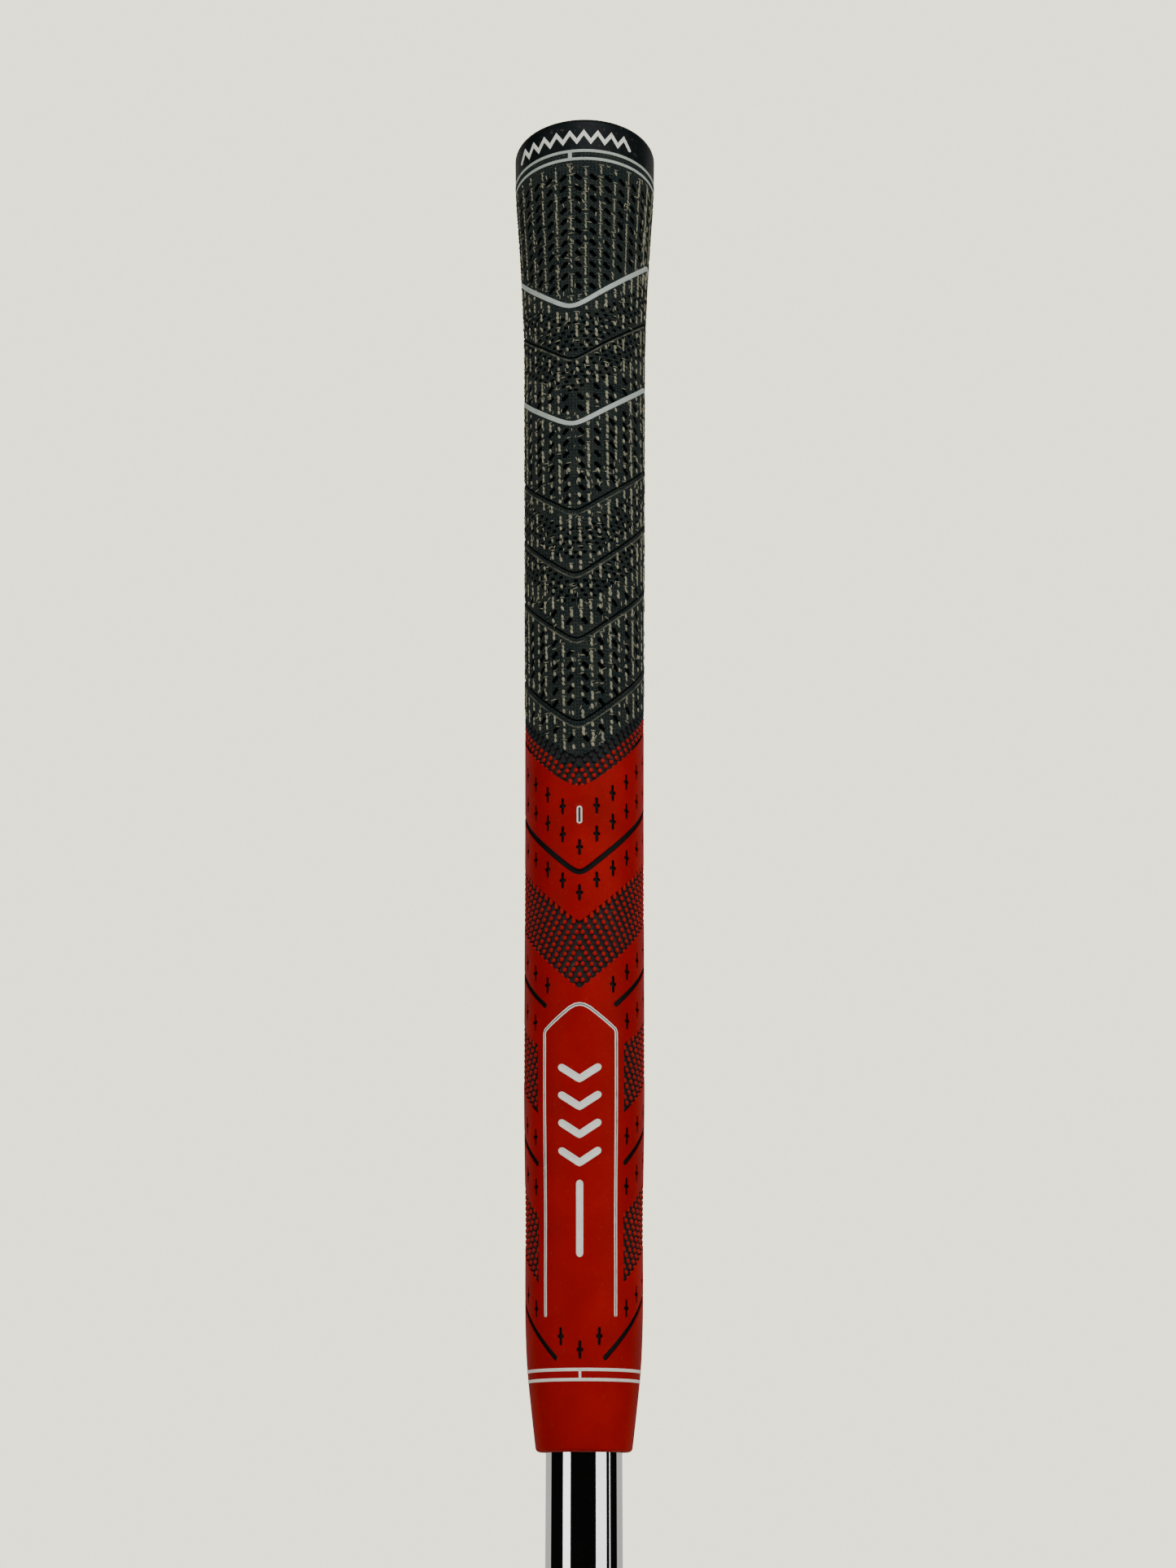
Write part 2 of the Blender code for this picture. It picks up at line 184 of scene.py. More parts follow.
def from_grid(name, places, merge=0.001):
    """A closed bar: a grid whose rows go round each section and columns go along the bar."""
    places = np.asarray(places, float)
    count, around = places.shape[:2]
    deselect_all()
    bpy.ops.mesh.primitive_grid_add(x_subdivisions=count - 1, y_subdivisions=around, size=1.0)
    bar = bpy.context.object
    bar.name = name
    corners = places_of(bar.data)
    column = np.unique(np.round(corners[:, 0], 5), return_inverse=True)[1]
    row = np.unique(np.round(corners[:, 1], 5), return_inverse=True)[1] % around
    bar.data.vertices.foreach_set("co", places[column, row].ravel())
    edit(bar)
    bpy.ops.mesh.remove_doubles(threshold=merge)
    bpy.ops.mesh.select_all(action="SELECT")
    bpy.ops.mesh.fill_holes(sides=0)
    bpy.ops.mesh.select_all(action="SELECT")
    bpy.ops.mesh.normals_make_consistent(inside=False)
    done()
    return bar


def strip(name, path, levels, round_ends=False):
    """A bar along a path on the flat skin; levels are (height, width) from its top down."""
    points = [Vector(point) for point in path]

    def section(centre, side, scale):
        left = [(*(centre + side * width * scale / 2), height) for height, width in levels]
        right = [(*(centre - side * width * scale / 2), height) for height, width in levels]
        return left + right[::-1]

    sections = []
    for i, point in enumerate(points):
        before = points[max(i - 1, 0)]
        after = points[min(i + 1, len(points) - 1)]
        ahead = (after - before).normalized()
        leg = (point - before if i else after - point).normalized()
        sections.append(section(point, Vector((-ahead.y, ahead.x)), 1 / max(abs(leg.dot(ahead)), 0.4)))
    if round_ends:
        radius = levels[-1][1] / 2
        for turn in (35.0, 65.0, 85.0):
            for end, inner, flip in ((points[0], points[1], -1), (points[-1], points[-2], 1)):
                ahead = (end - inner).normalized()
                side = Vector((-ahead.y, ahead.x)) * flip
                centre = end + ahead * radius * math.sin(math.radians(turn))
                rounded = section(centre, side, math.cos(math.radians(turn)))
                sections.insert(0 if flip < 0 else len(sections), rounded)
    return from_grid(name, sections)


def dense(path, step=0.5):
    """The same path with more points, so that it follows the round of the grip."""
    points = [tuple(path[0])]
    for start, end in zip(path, path[1:]):
        parts = max(int(math.ceil(math.dist(start, end) / step)), 1)
        for i in range(1, parts + 1):
            points.append(tuple(a + (b - a) * i / parts for a, b in zip(start, end)))
    return points


def groove_levels(width, floor):
    """A groove with flared edges, as (height, width) from its top down."""
    return ((PROUD, width + 0.7), (0.0, width + 0.16), (-0.12, width), (floor, width * 0.92))


def paint_levels(width, height):
    """A low line with chamfered edges, rooted in the skin."""
    return ((height, width - 0.14), (height - 0.05, width), (-0.2, width))


def prism(name, outline, levels):
    """A peg or a cutter: one outline, grown or shrunk at each height."""
    return from_grid(name, [[(*point, height) for point in outline(grow)] for height, grow in levels])


def plus_outline(grow):
    """A tall thin cross with short arms; the sizes are half widths."""
    bar, tall, arm, thick = 0.27 + grow, 1.58 + grow, 0.64 + grow, 0.30 + grow
    points = [(bar * 0.72, tall), (bar, 0.75 * tall), (bar, thick)]
    points += [(arm * 0.8, thick), (arm, thick * 0.6)]
    points += [(x, -y) for x, y in points[::-1]]
    return points + [(-x, y) for x, y in points[::-1]]


SLOT_LENGTH, SLOT_WIDTH, SLOT_LEAN = 1.80, 0.94, 47.0
SLOT_CORNERS = 10


def slot_outline(grow, lean=1):
    """A short slot with rounded ends, leaning one way."""
    length, width = SLOT_LENGTH / 2 + grow, SLOT_WIDTH / 2 + grow
    turn = math.radians(SLOT_LEAN) * lean
    points = []
    for i in range(SLOT_CORNERS):
        around = 2 * math.pi * i / SLOT_CORNERS
        x = (length - width) * (1 if math.cos(around) > 0 else -1) + width * math.cos(around)
        y = width * math.sin(around)
        points.append(
            (x * math.cos(turn) - y * math.sin(turn), x * math.sin(turn) + y * math.cos(turn))
        )
    return points


def oval_outline(width, height, corners):
    turns = [2 * math.pi * (i + 0.5) / corners for i in range(corners)]

    def outline(grow):
        across, tall = width / 2 + grow, height / 2 + grow
        return [(across * math.cos(turn), tall * math.sin(turn)) for turn in turns]

    return outline


def copies(name, masters, places, stretch=None, lean=None):
    """Copies of small pieces, joined as one mesh. A place is (x, y, which piece)."""
    shapes = []
    for master in masters:
        shapes.append((places_of(master.data), [list(face.vertices) for face in master.data.polygons]))
    vertices, faces, total = [], [], 0
    for i, (x, y, which) in enumerate(places):
        corners, polygons = shapes[which]
        if stretch is not None:
            corners = corners * stretch[i]
        if lean is not None:
            c, n = math.cos(lean[i]), math.sin(lean[i])
            corners = corners @ np.array(((c, n, 0), (-n, c, 0), (0, 0, 1)))
        vertices.append(corners + (x, y, 0))
        faces += [[corner + total for corner in polygon] for polygon in polygons]
        total += len(corners)
    mesh = bpy.data.meshes.new(name)
    mesh.from_pydata(np.concatenate(vertices).tolist(), [], faces)
    obj = bpy.data.objects.new(name, mesh)
    bpy.context.scene.collection.objects.link(obj)
    remove(*masters)
    return obj


def remove(*objects):
    for obj in objects:
        bpy.data.objects.remove(obj, do_unlink=True)


def join(objects):
    deselect_all()
    for obj in objects:
        obj.select_set(True)
    bpy.context.view_layer.objects.active = objects[0]
    if len(objects) > 1:
        bpy.ops.object.join()
    return bpy.context.object


def cut(skin, *cutters):
    """Take the cutters out of the skin; they may not touch one another."""
    cutter = join(list(cutters))
    apply_modifier(skin, "BOOLEAN", object=cutter, operation="DIFFERENCE", solver="EXACT")
    remove(cutter)


def slab(name, per_degree, low, high, thickness, rows):
    """A skin laid out flat, with its outside at height nought."""
    columns = int(2 * HALF_TURN / COLUMN_STEP)
    deselect_all()
    bpy.ops.mesh.primitive_grid_add(x_subdivisions=columns, y_subdivisions=rows, size=1.0)
    skin = bpy.context.object
    skin.name = name
    for vertex in skin.data.vertices:
        angle = vertex.co.x * 2 * HALF_TURN
        foot, head = low(angle), high(angle)
        vertex.co = (angle * per_degree, foot + (vertex.co.y + 0.5) * (head - foot), 0.0)
    edit(skin)
    bpy.ops.mesh.extrude_region_move(TRANSFORM_OT_translate={"value": (0, 0, -thickness)})
    bpy.ops.mesh.select_all(action="SELECT")
    bpy.ops.mesh.normals_make_consistent(inside=False)
    done()
    return skin


SEAM_MERGE = 0.000004


def wrap(obj, per_degree, closed=True):
    """Bend a flat piece round the grip, join its seam, and note each corner's height."""
    mesh = obj.data
    if closed:
        at_seam = np.abs(places_of(mesh)[:, 0] / per_degree) > HALF_TURN - 0.01
        choose_faces(obj, lambda face: bool(at_seam[list(face.vertices)].all()))
        bpy.ops.mesh.delete(type="ONLY_FACE")
        done()
        bpy.context.tool_settings.mesh_select_mode = (True, False, False)
    flat = places_of(mesh)
    sheet = mesh.uv_layers.new(name="sheet") if not mesh.uv_layers else mesh.uv_layers[0]
    sheet.name = "sheet"
    corners = np.empty(len(mesh.loops), np.int32)
    mesh.loops.foreach_get("vertex_index", corners)
    sheet.data.foreach_set("uv", (flat[corners, :2] / 10).astype(np.float32).ravel())
    height = mesh.attributes.new("height", "FLOAT", "POINT")
    height.data.foreach_set("value", flat[:, 2].astype(np.float32))
    turn = np.radians(flat[:, 0] / per_degree + pattern_centre(flat[:, 1]))
    radius = (skin_radius(flat[:, 1]) + flat[:, 2]) / 1000
    places = np.stack([radius * np.sin(turn), -radius * np.cos(turn), MOUTH + flat[:, 1] / 1000], 1)
    mesh.vertices.foreach_set("co", places.ravel())
    mesh.update()
    edit(obj)
    bpy.ops.mesh.remove_doubles(threshold=SEAM_MERGE)
    done()


def finish_piece(obj, name, material, nodes=(), smooth=35.0, weighted=True):
    """Shade, name and colour a piece, and hand it over to the solids' frame."""
    make_active(obj)
    obj.name = name
    obj.data.name = name
    bpy.ops.object.shade_smooth_by_angle(angle=math.radians(smooth))
    if weighted:
        apply_modifier(obj, "WEIGHTED_NORMAL", keep_sharp=True, weight=60)
    obj.data.materials.clear()
    obj.data.materials.append(material)
    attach(obj, "root")
    if nodes:
        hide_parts(*nodes)
    deselect_all()
    return obj


# ---------------------------------------------------------------- pattern on the skins


def vee_path(apex, slope, rounding, per_degree, start=-OVERLAP_TURN, end=OVERLAP_TURN):
    """A line that follows the chevrons, on a flat skin."""
    count = max(int(round((end - start) / COLUMN_STEP)), 1)
    turns = [start + (end - start) * i / count for i in range(count + 1)]
    return [(turn * per_degree, apex + vee(turn, slope, rounding)) for turn in turns]


WINDOW_STEPS = 60
WINDOW_FLARE = 0.12


def window(name, start, end, low, high, per_degree):
    """A cutter for a field of the pattern, between two edges that follow the chevrons."""
    sections = []
    for i in range(WINDOW_STEPS + 1):
        turn = start + (end - start) * i / WINDOW_STEPS
        foot, head = low(turn), high(turn)
        profile = (
            (head + WINDOW_FLARE * 2, PROUD),
            (head, -WINDOW_FLARE),
            (head, THROUGH),
            (foot, THROUGH),
            (foot, -WINDOW_FLARE),
            (foot - WINDOW_FLARE * 2, PROUD),
        )
        sections.append([(turn * per_degree, y, height) for y, height in profile])
    return from_grid(name, sections)


# A quarter turn holds 31 steps of a staggered lattice, and each row uses every third one.
LATTICE_THIRDS = 31
LATTICE_TURN = QUARTER_TURN / LATTICE_THIRDS
LATTICE_RISE = 1.04


def lattice(anchor, low, high, margin, start=0.0):
    """Staggered places, mirrored about the front, the back and both sides."""
    places = []
    first = int((anchor - GRIP_TOP) / LATTICE_RISE)
    for row in range(first, first + int(GRIP_TOP / LATTICE_RISE)):
        y = anchor - row * LATTICE_RISE
        for third in range(LATTICE_THIRDS + 1):
            folded = third * LATTICE_TURN
            if (third - row) % 3 or not start <= folded <= QUARTER_TURN:
                continue
            if low(folded) - margin < y < high(folded) + margin:
                for turn in sorted({folded, -folded, HALF_TURN - folded, folded - HALF_TURN}):
                    places.append((turn, y))
    return places


TOOTH_REACH = 0.75
TOOTH_SHIFT = 0.42


def teeth(places, low, high):
    """Nubs next to a field's edge run into it, which gives the edge its teeth."""
    found = []
    for turn, y in places:
        if 0.0 < y - low(turn) < TOOTH_REACH:
            found.append((turn, y - TOOTH_SHIFT))
        if 0.0 < high(turn) - y < TOOTH_REACH:
            found.append((turn, y + TOOTH_SHIFT))
    return found


def vee_edge(apex, slope, rounding):
    """Height of an edge that follows the chevrons, as a function of the turn."""
    return lambda turn: apex + vee(turn, slope, rounding)


red_edge = vee_edge(124.3, 0.185, 12)
band_low = vee_edge(84.1, 0.18, 2)
band_high = vee_edge(97.1, 0.18, 2)


def cord_edge(turn):
    return red_edge(turn) + 6.3


def straight_edge(height, slope, from_turn):
    """Height of an edge that climbs evenly from one turn towards the side."""
    return lambda turn: height + slope * (abs(math.remainder(turn, HALF_TURN)) - from_turn)


# Each side field has a lower edge, an upper edge and the turn it starts from.
SIDE_FIELDS = (
    (straight_edge(60.8, 0.17, 44.5), straight_edge(73.8, 0.15, 44.5), 44.5),
    (straight_edge(29.6, 0.17, 45.0), straight_edge(42.0, 0.17, 45.0), 45.0),
)
# Short grooves at the sides: the turn of the inner end, the height there and the slope.
PARTIAL_GROOVES = ((35.4, 81.2, 0.178), (46.5, 51.5, 0.19), (25.2, 16.2, 0.196))
PARTIAL_ROUNDING = 4
# Rows of crosses: first and last column, height of column nought and rise for each column.
PLUS_COLUMNS = 22
PLUS_TURN = 360.0 / PLUS_COLUMNS
PLUS_LONG, PLUS_SHORT = PLUS_COLUMNS // 2, 5
PLUS_ROWS = (
    (1, PLUS_LONG, 117.5, 2.87),
    (0, PLUS_LONG, 111.9, 2.75),
    (0, PLUS_LONG, 102.8, 2.6),
    (2, PLUS_SHORT, 79.4, 2.85),
    (3, PLUS_SHORT, 70.2, 2.72),
    (3, PLUS_SHORT, 48.6, 2.65),
    (3, PLUS_SHORT, 39.0, 2.75),
    (3, PLUS_SHORT, 17.0, 2.7),
)
PLUS_AT_FOOT = (
    *((0.0, 17.6), (-19.0, 20.0), (19.0, 20.0)),
    *((-180.0, 17.6), (180.0, 17.6), (-161.0, 20.0), (161.0, 20.0)),
)
# Chevrons on the corded skin: height of the point, slope, rounding and width.
LOWEST_GROOVE = (137.3, 0.183, 9, 1.25)
MIDDLE_GROOVE = (154.9, 0.176, 7, 0.9)
UPPER_GROOVE = (182.8, 0.167, 9, 1.0)
DEEP_GROOVES = (
    UPPER_GROOVE,
    (169.0, 0.182, 9, 0.95),
    MIDDLE_GROOVE,
    LOWEST_GROOVE,
    (217.5, 0.165, 8, 0.5),
)
HIGH_LINE = (229.8, 0.19, 12, 1.0)
LINES = (HIGH_LINE, (202.6, 0.165, 12, 1.0))
# Fields of pits between chevrons: lower point, upper point, slope and rounding.
PIT_FIELDS = (
    (209.5, 226.5, 0.165, 8),
    (171.9, 179.3, 0.175, 9),
    (162.2, 168.0, 0.18, 9),
)


def line_height(turn, line):
    apex, slope, rounding, _ = line
    return apex + vee(turn, slope, rounding)


def plus_places():
    """Little crosses in rows that climb with the chevrons."""
    places = []
    for first, last, base, rise in PLUS_ROWS:
        for column in range(first, last + 1):
            turn = column * PLUS_TURN
            if last == PLUS_LONG:
                y = base + rise * min(column, PLUS_LONG - column)
                turns = {turn, -turn}
            else:
                y = base + rise * column
                turns = {turn, -turn, HALF_TURN - turn, turn - HALF_TURN}
            places += [(turn, y) for turn in sorted(turns)]
    return places + list(PLUS_AT_FOOT)


def in_pits(turn, y, margin=0.0):
    for low, high, slope, rounding in PIT_FIELDS:
        rise = vee(turn, slope, rounding)
        if low + rise - margin < y < high + rise + margin:
            return True
    return False


def near_line(turn, y, gap):
    """True close to a groove or to a painted chevron."""
    return any(
        abs(y - apex - vee(turn, slope, rounding)) < gap + width / 2
        for apex, slope, rounding, width in DEEP_GROOVES + LINES
    )


# Slots stand in even columns round the grip. Each column has its lowest slot and a rise
# from one slot to the next; two lone rows sit between chevrons, each with its height in
# the first column and its climb for each degree.
BUTT_COLUMNS, BODY_COLUMNS = 28, 24
BUTT_FIRST, BUTT_RISE, BUTT_LAST = 234.3, 2.55, 262.2
BODY_FIRST, BODY_RISE = 141.8, 2.57
LONE_SLOTS = ((134.1, 0.155), (158.9, 0.15))
MOST_SLOT_ROWS = 60
LINE_MARGIN = 1.4


def slot_places():
    """Leaning slots: mirrored columns, 28 round the butt and 24 below."""
    places = []
    for row in range(MOST_SLOT_ROWS):
        for column in range(BUTT_COLUMNS // 4):
            turn = (column + 0.5) * 360 / BUTT_COLUMNS
            y = BUTT_FIRST + BUTT_RISE * row
            if line_height(turn, HIGH_LINE) + LINE_MARGIN <= y <= BUTT_LAST:
                places.append((turn, y))
    for column in range(BODY_COLUMNS // 4):
        turn = (column + 0.5) * 360 / BODY_COLUMNS
        for row in range(MOST_SLOT_ROWS):
            y = BODY_FIRST + BODY_RISE * row
            if y > line_height(turn, HIGH_LINE) - LINE_MARGIN or y <= line_height(turn, LOWEST_GROOVE):
                continue
            if line_height(turn, MIDDLE_GROOVE) <= y <= line_height(turn, UPPER_GROOVE):
                continue
            if not in_pits(turn, y, 0.9) and not near_line(turn, y, 1.0):
                places.append((turn, y))
        for height, climb in LONE_SLOTS:
            places.append((turn, height + climb * (turn - HALF_TURN / BODY_COLUMNS)))
    mirrored = []
    for turn, y in places:
        for other in (turn, -turn, HALF_TURN - turn, turn - HALF_TURN):
            leans_left = -QUARTER_TURN < other < 0 or other > QUARTER_TURN
            mirrored.append((other, y, 0 if leans_left else 1))
    return mirrored


# ---------------------------------------------------------------- materials


def new_group(name, inputs, outputs):
    """A node group whose sockets are all numbers; each input has its default."""
    tree = bpy.data.node_groups.new(name, "ShaderNodeTree")
    for way, sockets in (("INPUT", inputs), ("OUTPUT", outputs)):
        for label in sockets:
            socket = tree.interface.new_socket(label, in_out=way, socket_type="NodeSocketFloat")
            if way == "INPUT":
                socket.default_value = inputs[label]
    return tree, tree.nodes.new("NodeGroupInput").outputs, tree.nodes.new("NodeGroupOutput").inputs


def link(tree, source, *sockets):
    for socket in sockets:
        tree.links.new(source, socket)


def noise(tree, vector, **settings):
    """A noise texture on the given coordinates."""
    made = node(tree, "ShaderNodeTexNoise", **settings)
    link(tree, vector, made.inputs["Vector"])
    return made


def node(tree, kind, **settings):
    made = tree.nodes.new(kind)
    for key, value in settings.items():
        if key.startswith("in_"):
            made.inputs[key[3:].replace("_", " ")].default_value = value
        else:
            setattr(made, key, value)
    return made


def ramp(tree, source, low, high):
    """Nought at low, one at high, and no further."""
    made = node(tree, "ShaderNodeMapRange", clamp=True)
    feed(tree, made.inputs["Value"], source)
    feed(tree, made.inputs["From Min"], low)
    feed(tree, made.inputs["From Max"], high)
    return made.outputs["Result"]


def feed(tree, socket, value):
    """Set a socket to a constant, or link it."""
    if isinstance(value, (int, float, tuple)):
        socket.default_value = value
    else:
        tree.links.new(value, socket)


def maths(tree, operation, first, second):
    made = node(tree, "ShaderNodeMath", operation=operation)
    feed(tree, made.inputs[0], first)
    feed(tree, made.inputs[1], second)
    return made.outputs[0]


def mixed(tree, share, first, second):
    """A colour mix."""
    made = node(tree, "ShaderNodeMix", data_type="RGBA")
    for number, value in ((0, share), (6, first), (7, second)):
        feed(tree, made.inputs[number], value)
    return made.outputs[2]


def rgba(colour, share=1.0):
    """A colour with its alpha, made darker or lighter by a share."""
    return (*(part * share for part in colour), 1.0)


def grain_group():
    """Fine moulded grain, slow colour drift and specks over a rubber surface."""
    tree, given, out = new_group(
        "Moulded grain", {"Size": 9000.0, "Drift": 120.0}, ("Grain", "Tone", "Speck")
    )
    place = node(tree, "ShaderNodeTexCoord").outputs["Object"]
    fine = noise(tree, place, in_Detail=3.0, in_Roughness=0.6)
    slow = noise(tree, place, in_Detail=4.0, in_Roughness=0.55)
    speck = noise(tree, place, in_Detail=2.0, in_Roughness=0.7)
    link(tree, given["Size"], fine.inputs["Scale"])
    link(tree, given["Drift"], slow.inputs["Scale"])
    link(tree, maths(tree, "MULTIPLY", given["Size"], 0.3), speck.inputs["Scale"])
    link(tree, fine.outputs["Fac"], out["Grain"])
    link(tree, ramp(tree, slow.outputs["Fac"], 0.3, 0.7), out["Tone"])
    link(tree, ramp(tree, speck.outputs["Fac"], 0.62, 0.74), out["Speck"])
    return tree


def depth_group():
    """Mask of what lies below the skin: nought above Wall, one below Floor."""
    tree, given, out = new_group("Cut depth", {"Wall": -0.15, "Floor": -0.45}, ("Sunk",))
    height = node(tree, "ShaderNodeAttribute", attribute_name="height")
    link(tree, ramp(tree, height.outputs["Fac"], given["Wall"], given["Floor"]), out["Sunk"])
    return tree


def weave_group():
    """Cord fabric moulded into rubber: threads lying across one another, and loose fibres."""
    tree, given, out = new_group(
        "Corded weave", {"Threads": 10.0, "Fibre": 38.0}, ("Weave", "Fibres", "Patch")
    )
    sheet = node(tree, "ShaderNodeUVMap", uv_map="sheet").outputs["UV"]
    bent = noise(tree, sheet, in_Scale=6.0, in_Detail=2.0)
    shift = node(tree, "ShaderNodeVectorMath", operation="MULTIPLY_ADD")
    for number, value in enumerate((bent.outputs["Color"], (0.05, 0.05, 0.0), sheet)):
        feed(tree, shift.inputs[number], value)
    waves = []
    for direction in ("X", "Y"):
        wave = node(
            tree, "ShaderNodeTexWave", wave_type="BANDS", bands_direction=direction, in_Distortion=0.6
        )
        link(tree, shift.outputs[0], wave.inputs["Vector"])
        link(tree, given["Threads"], wave.inputs["Scale"])
        waves.append(wave.outputs["Fac"])
    stretched = node(tree, "ShaderNodeMapping", in_Scale=(3.2, 1.0, 1.0))
    link(tree, sheet, stretched.inputs["Vector"])
    fibre = noise(tree, stretched.outputs["Vector"], in_Detail=3.0, in_Roughness=0.65)
    link(tree, given["Fibre"], fibre.inputs["Scale"])
    patch = noise(tree, sheet, in_Scale=2.2, in_Detail=3.0, in_Roughness=0.6)
    link(tree, maths(tree, "MAXIMUM", *waves), out["Weave"])
    link(tree, ramp(tree, fibre.outputs["Fac"], 0.50, 0.68), out["Fibres"])
    link(tree, ramp(tree, patch.outputs["Fac"], 0.42, 0.66), out["Patch"])
    return tree


GROUP_MAKERS = {"grain": grain_group, "depth": depth_group, "weave": weave_group}
GROUPS = {}


def placed(tree, name, **values):
    """Place a shared group in a material, with this material's own values."""
    if name not in GROUPS:
        GROUPS[name] = GROUP_MAKERS[name]()
    made = node(tree, "ShaderNodeGroup", node_tree=GROUPS[name])
    for key, value in values.items():
        made.inputs[key].default_value = value
    return made.outputs


def new_material(name, roughness=0.5, metallic=0.0):
    material = bpy.data.materials.new(name)
    material.use_nodes = True
    tree = material.node_tree
    tree.nodes.clear()
    shader = node(tree, "ShaderNodeBsdfPrincipled")
    shader.inputs["Roughness"].default_value = roughness
    shader.inputs["Metallic"].default_value = metallic
    output = node(tree, "ShaderNodeOutputMaterial")
    tree.links.new(shader.outputs["BSDF"], output.inputs["Surface"])
    return material, tree, shader


def bump(tree, shader, heights, strength=0.5):
    """One Bump node fed by a sum of height fields, each (socket, metres)."""
    total = None
    for socket, depth in heights:
        part = maths(tree, "MULTIPLY", socket, depth)
        total = part if total is None else maths(tree, "ADD", total, part)
    made = node(tree, "ShaderNodeBump", in_Strength=strength, in_Distance=1.0)
    tree.links.new(total, made.inputs["Height"])
    tree.links.new(made.outputs["Normal"], shader.inputs["Normal"])


def roughen(tree, shader, source, spread, least):
    rough = maths(tree, "ADD", maths(tree, "MULTIPLY", source, spread), least)
    link(tree, rough, shader.inputs["Roughness"])


def moulded(name, colour, dark, grain, rough, relief, gloss=0.5, specks=None, sunk=None):
    """A moulded finish: grain, slow drift to a darker shade, specks, and dark cuts.

    grain is (size, drift), rough is (spread, least) or one number, relief is (metres, strength),
    specks is (share, colour) and sunk is (wall, floor, colour).
    """
    material, tree, shader = new_material(name)
    grain = placed(tree, "grain", Size=grain[0], Drift=grain[1])
    base = mixed(tree, grain["Tone"], rgba(colour, dark), rgba(colour))
    if specks:
        base = mixed(tree, maths(tree, "MULTIPLY", grain["Speck"], specks[0]), base, rgba(specks[1]))
    if sunk:
        depth = placed(tree, "depth", Wall=sunk[0], Floor=sunk[1])
        base = mixed(tree, depth["Sunk"], base, rgba(sunk[2]))
    link(tree, base, shader.inputs["Base Color"])
    if isinstance(rough, tuple):
        roughen(tree, shader, grain["Grain"], *rough)
    else:
        shader.inputs["Roughness"].default_value = rough
    shader.inputs["Specular IOR Level"].default_value = gloss
    bump(tree, shader, ((grain["Grain"], relief[0]),), relief[1])
    return material


def red_material():
    colours = bpy.context.scene.grip_colours
    grain, rough, relief = (5200.0, 90.0), (0.2, 0.46), (0.00006, 0.35)
    specks, sunk = (0.05, colours.dust), (-0.05, -0.22, colours.groove)
    return moulded("red_rubber_finish", colours.red, 0.72, grain, rough, relief, 0.12, specks, sunk)


def nub_material(name, top, low, wall, floor):
    grain, rough, relief = (5200.0, 160.0), (0.2, 0.4), (0.00004, 0.3)
    # The nub darkens from wall to floor towards the low colour: dark paint on its sides, and painted
    # shade at its foot.
    return moulded(name, top, 0.75, grain, rough, relief, gloss=0.18, sunk=(wall, floor, low))


def ground_material():
    colours = bpy.context.scene.grip_colours
    grain, rough, relief = (4200.0, 150.0), (0.25, 0.55), (0.00012, 0.5)
    specks = (0.4, colours.dust)
    return moulded("core_rubber_finish", colours.ground, 0.6, grain, rough, relief, 0.15, specks)


def cap_material():
    colours = bpy.context.scene.grip_colours
    grain, rough, relief = (3600.0, 110.0), (0.25, 0.34), (0.00007, 0.4)
    specks = (0.25, colours.dust)
    return moulded("cap_rubber_finish", colours.cap, 0.6, grain, rough, relief, 0.11, specks)


def paint_material(name, colour, worn, cover=0.3):
    """Paint in a moulded line, rubbed through in places to the rubber below."""
    grain, rough, relief = (2600.0, 420.0), (0.2, 0.42), (0.00006, 0.4)
    return moulded(name, colour, 0.88, grain, rough, relief, specks=(cover, worn))


def tape_material():
    tape = bpy.context.scene.grip_colours.tape
    return moulded("paper_tape_finish", tape, 0.8, (1800.0, 200.0), 0.85, (0.0001, 0.5))


def corded_material():
    """Black rubber with the cord's weave in it, fibres rubbed pale on top, and painted shade that
    turns slots, pits and creases nearly black.
    """
    colours = bpy.context.scene.grip_colours
    material, tree, shader = new_material("corded_rubber_finish")
    weave = placed(tree, "weave", Threads=4.6, Fibre=22.0)
    grain = placed(tree, "grain", Size=3000.0, Drift=160.0)
    depth = placed(tree, "depth", Wall=-0.11, Floor=-0.24)
    black, pale = rgba(colours.black), rgba(colours.thread)
    base = mixed(tree, weave["Weave"], rgba(colours.black, 0.45), black)
    fibres = maths(tree, "MULTIPLY", weave["Fibres"], weave["Weave"])
    base = mixed(tree, maths(tree, "MULTIPLY", fibres, 0.5), base, mixed(tree, 0.5, pale, black))
    base = mixed(tree, maths(tree, "MULTIPLY", weave["Patch"], 0.03), base, pale)
    # Painted shade: the deeper a cut, the nearer the same rubber comes to black.
    base = mixed(tree, depth["Sunk"], base, rgba(colours.black, 0.05))
    link(tree, base, shader.inputs["Base Color"])
    roughen(tree, shader, grain["Tone"], 0.15, 0.62)
    shader.inputs["Specular IOR Level"].default_value = 0.06
    heights = ((weave["Weave"], 0.00016), (weave["Fibres"], 0.0001), (grain["Grain"], 0.0001))
    bump(tree, shader, heights, 0.75)
    return material


def groove_highlight_material():
    """Raised lip of a groove, with a painted highlight along its top."""
    colours = bpy.context.scene.grip_colours
    material, tree, shader = new_material("groove_highlight_finish", 0.7)
    shader.inputs["Specular IOR Level"].default_value = 0.15
    grain = placed(tree, "grain", Size=2600.0, Drift=500.0)
    black = rgba(colours.black)
    # Painted highlight: a pale mix of black and thread colour along the lip.
    base = mixed(tree, grain["Tone"], black, mixed(tree, 0.35, black, rgba(colours.thread)))
    link(tree, base, shader.inputs["Base Color"])
    bump(tree, shader, ((grain["Grain"], 0.00008),), 0.5)
    return material


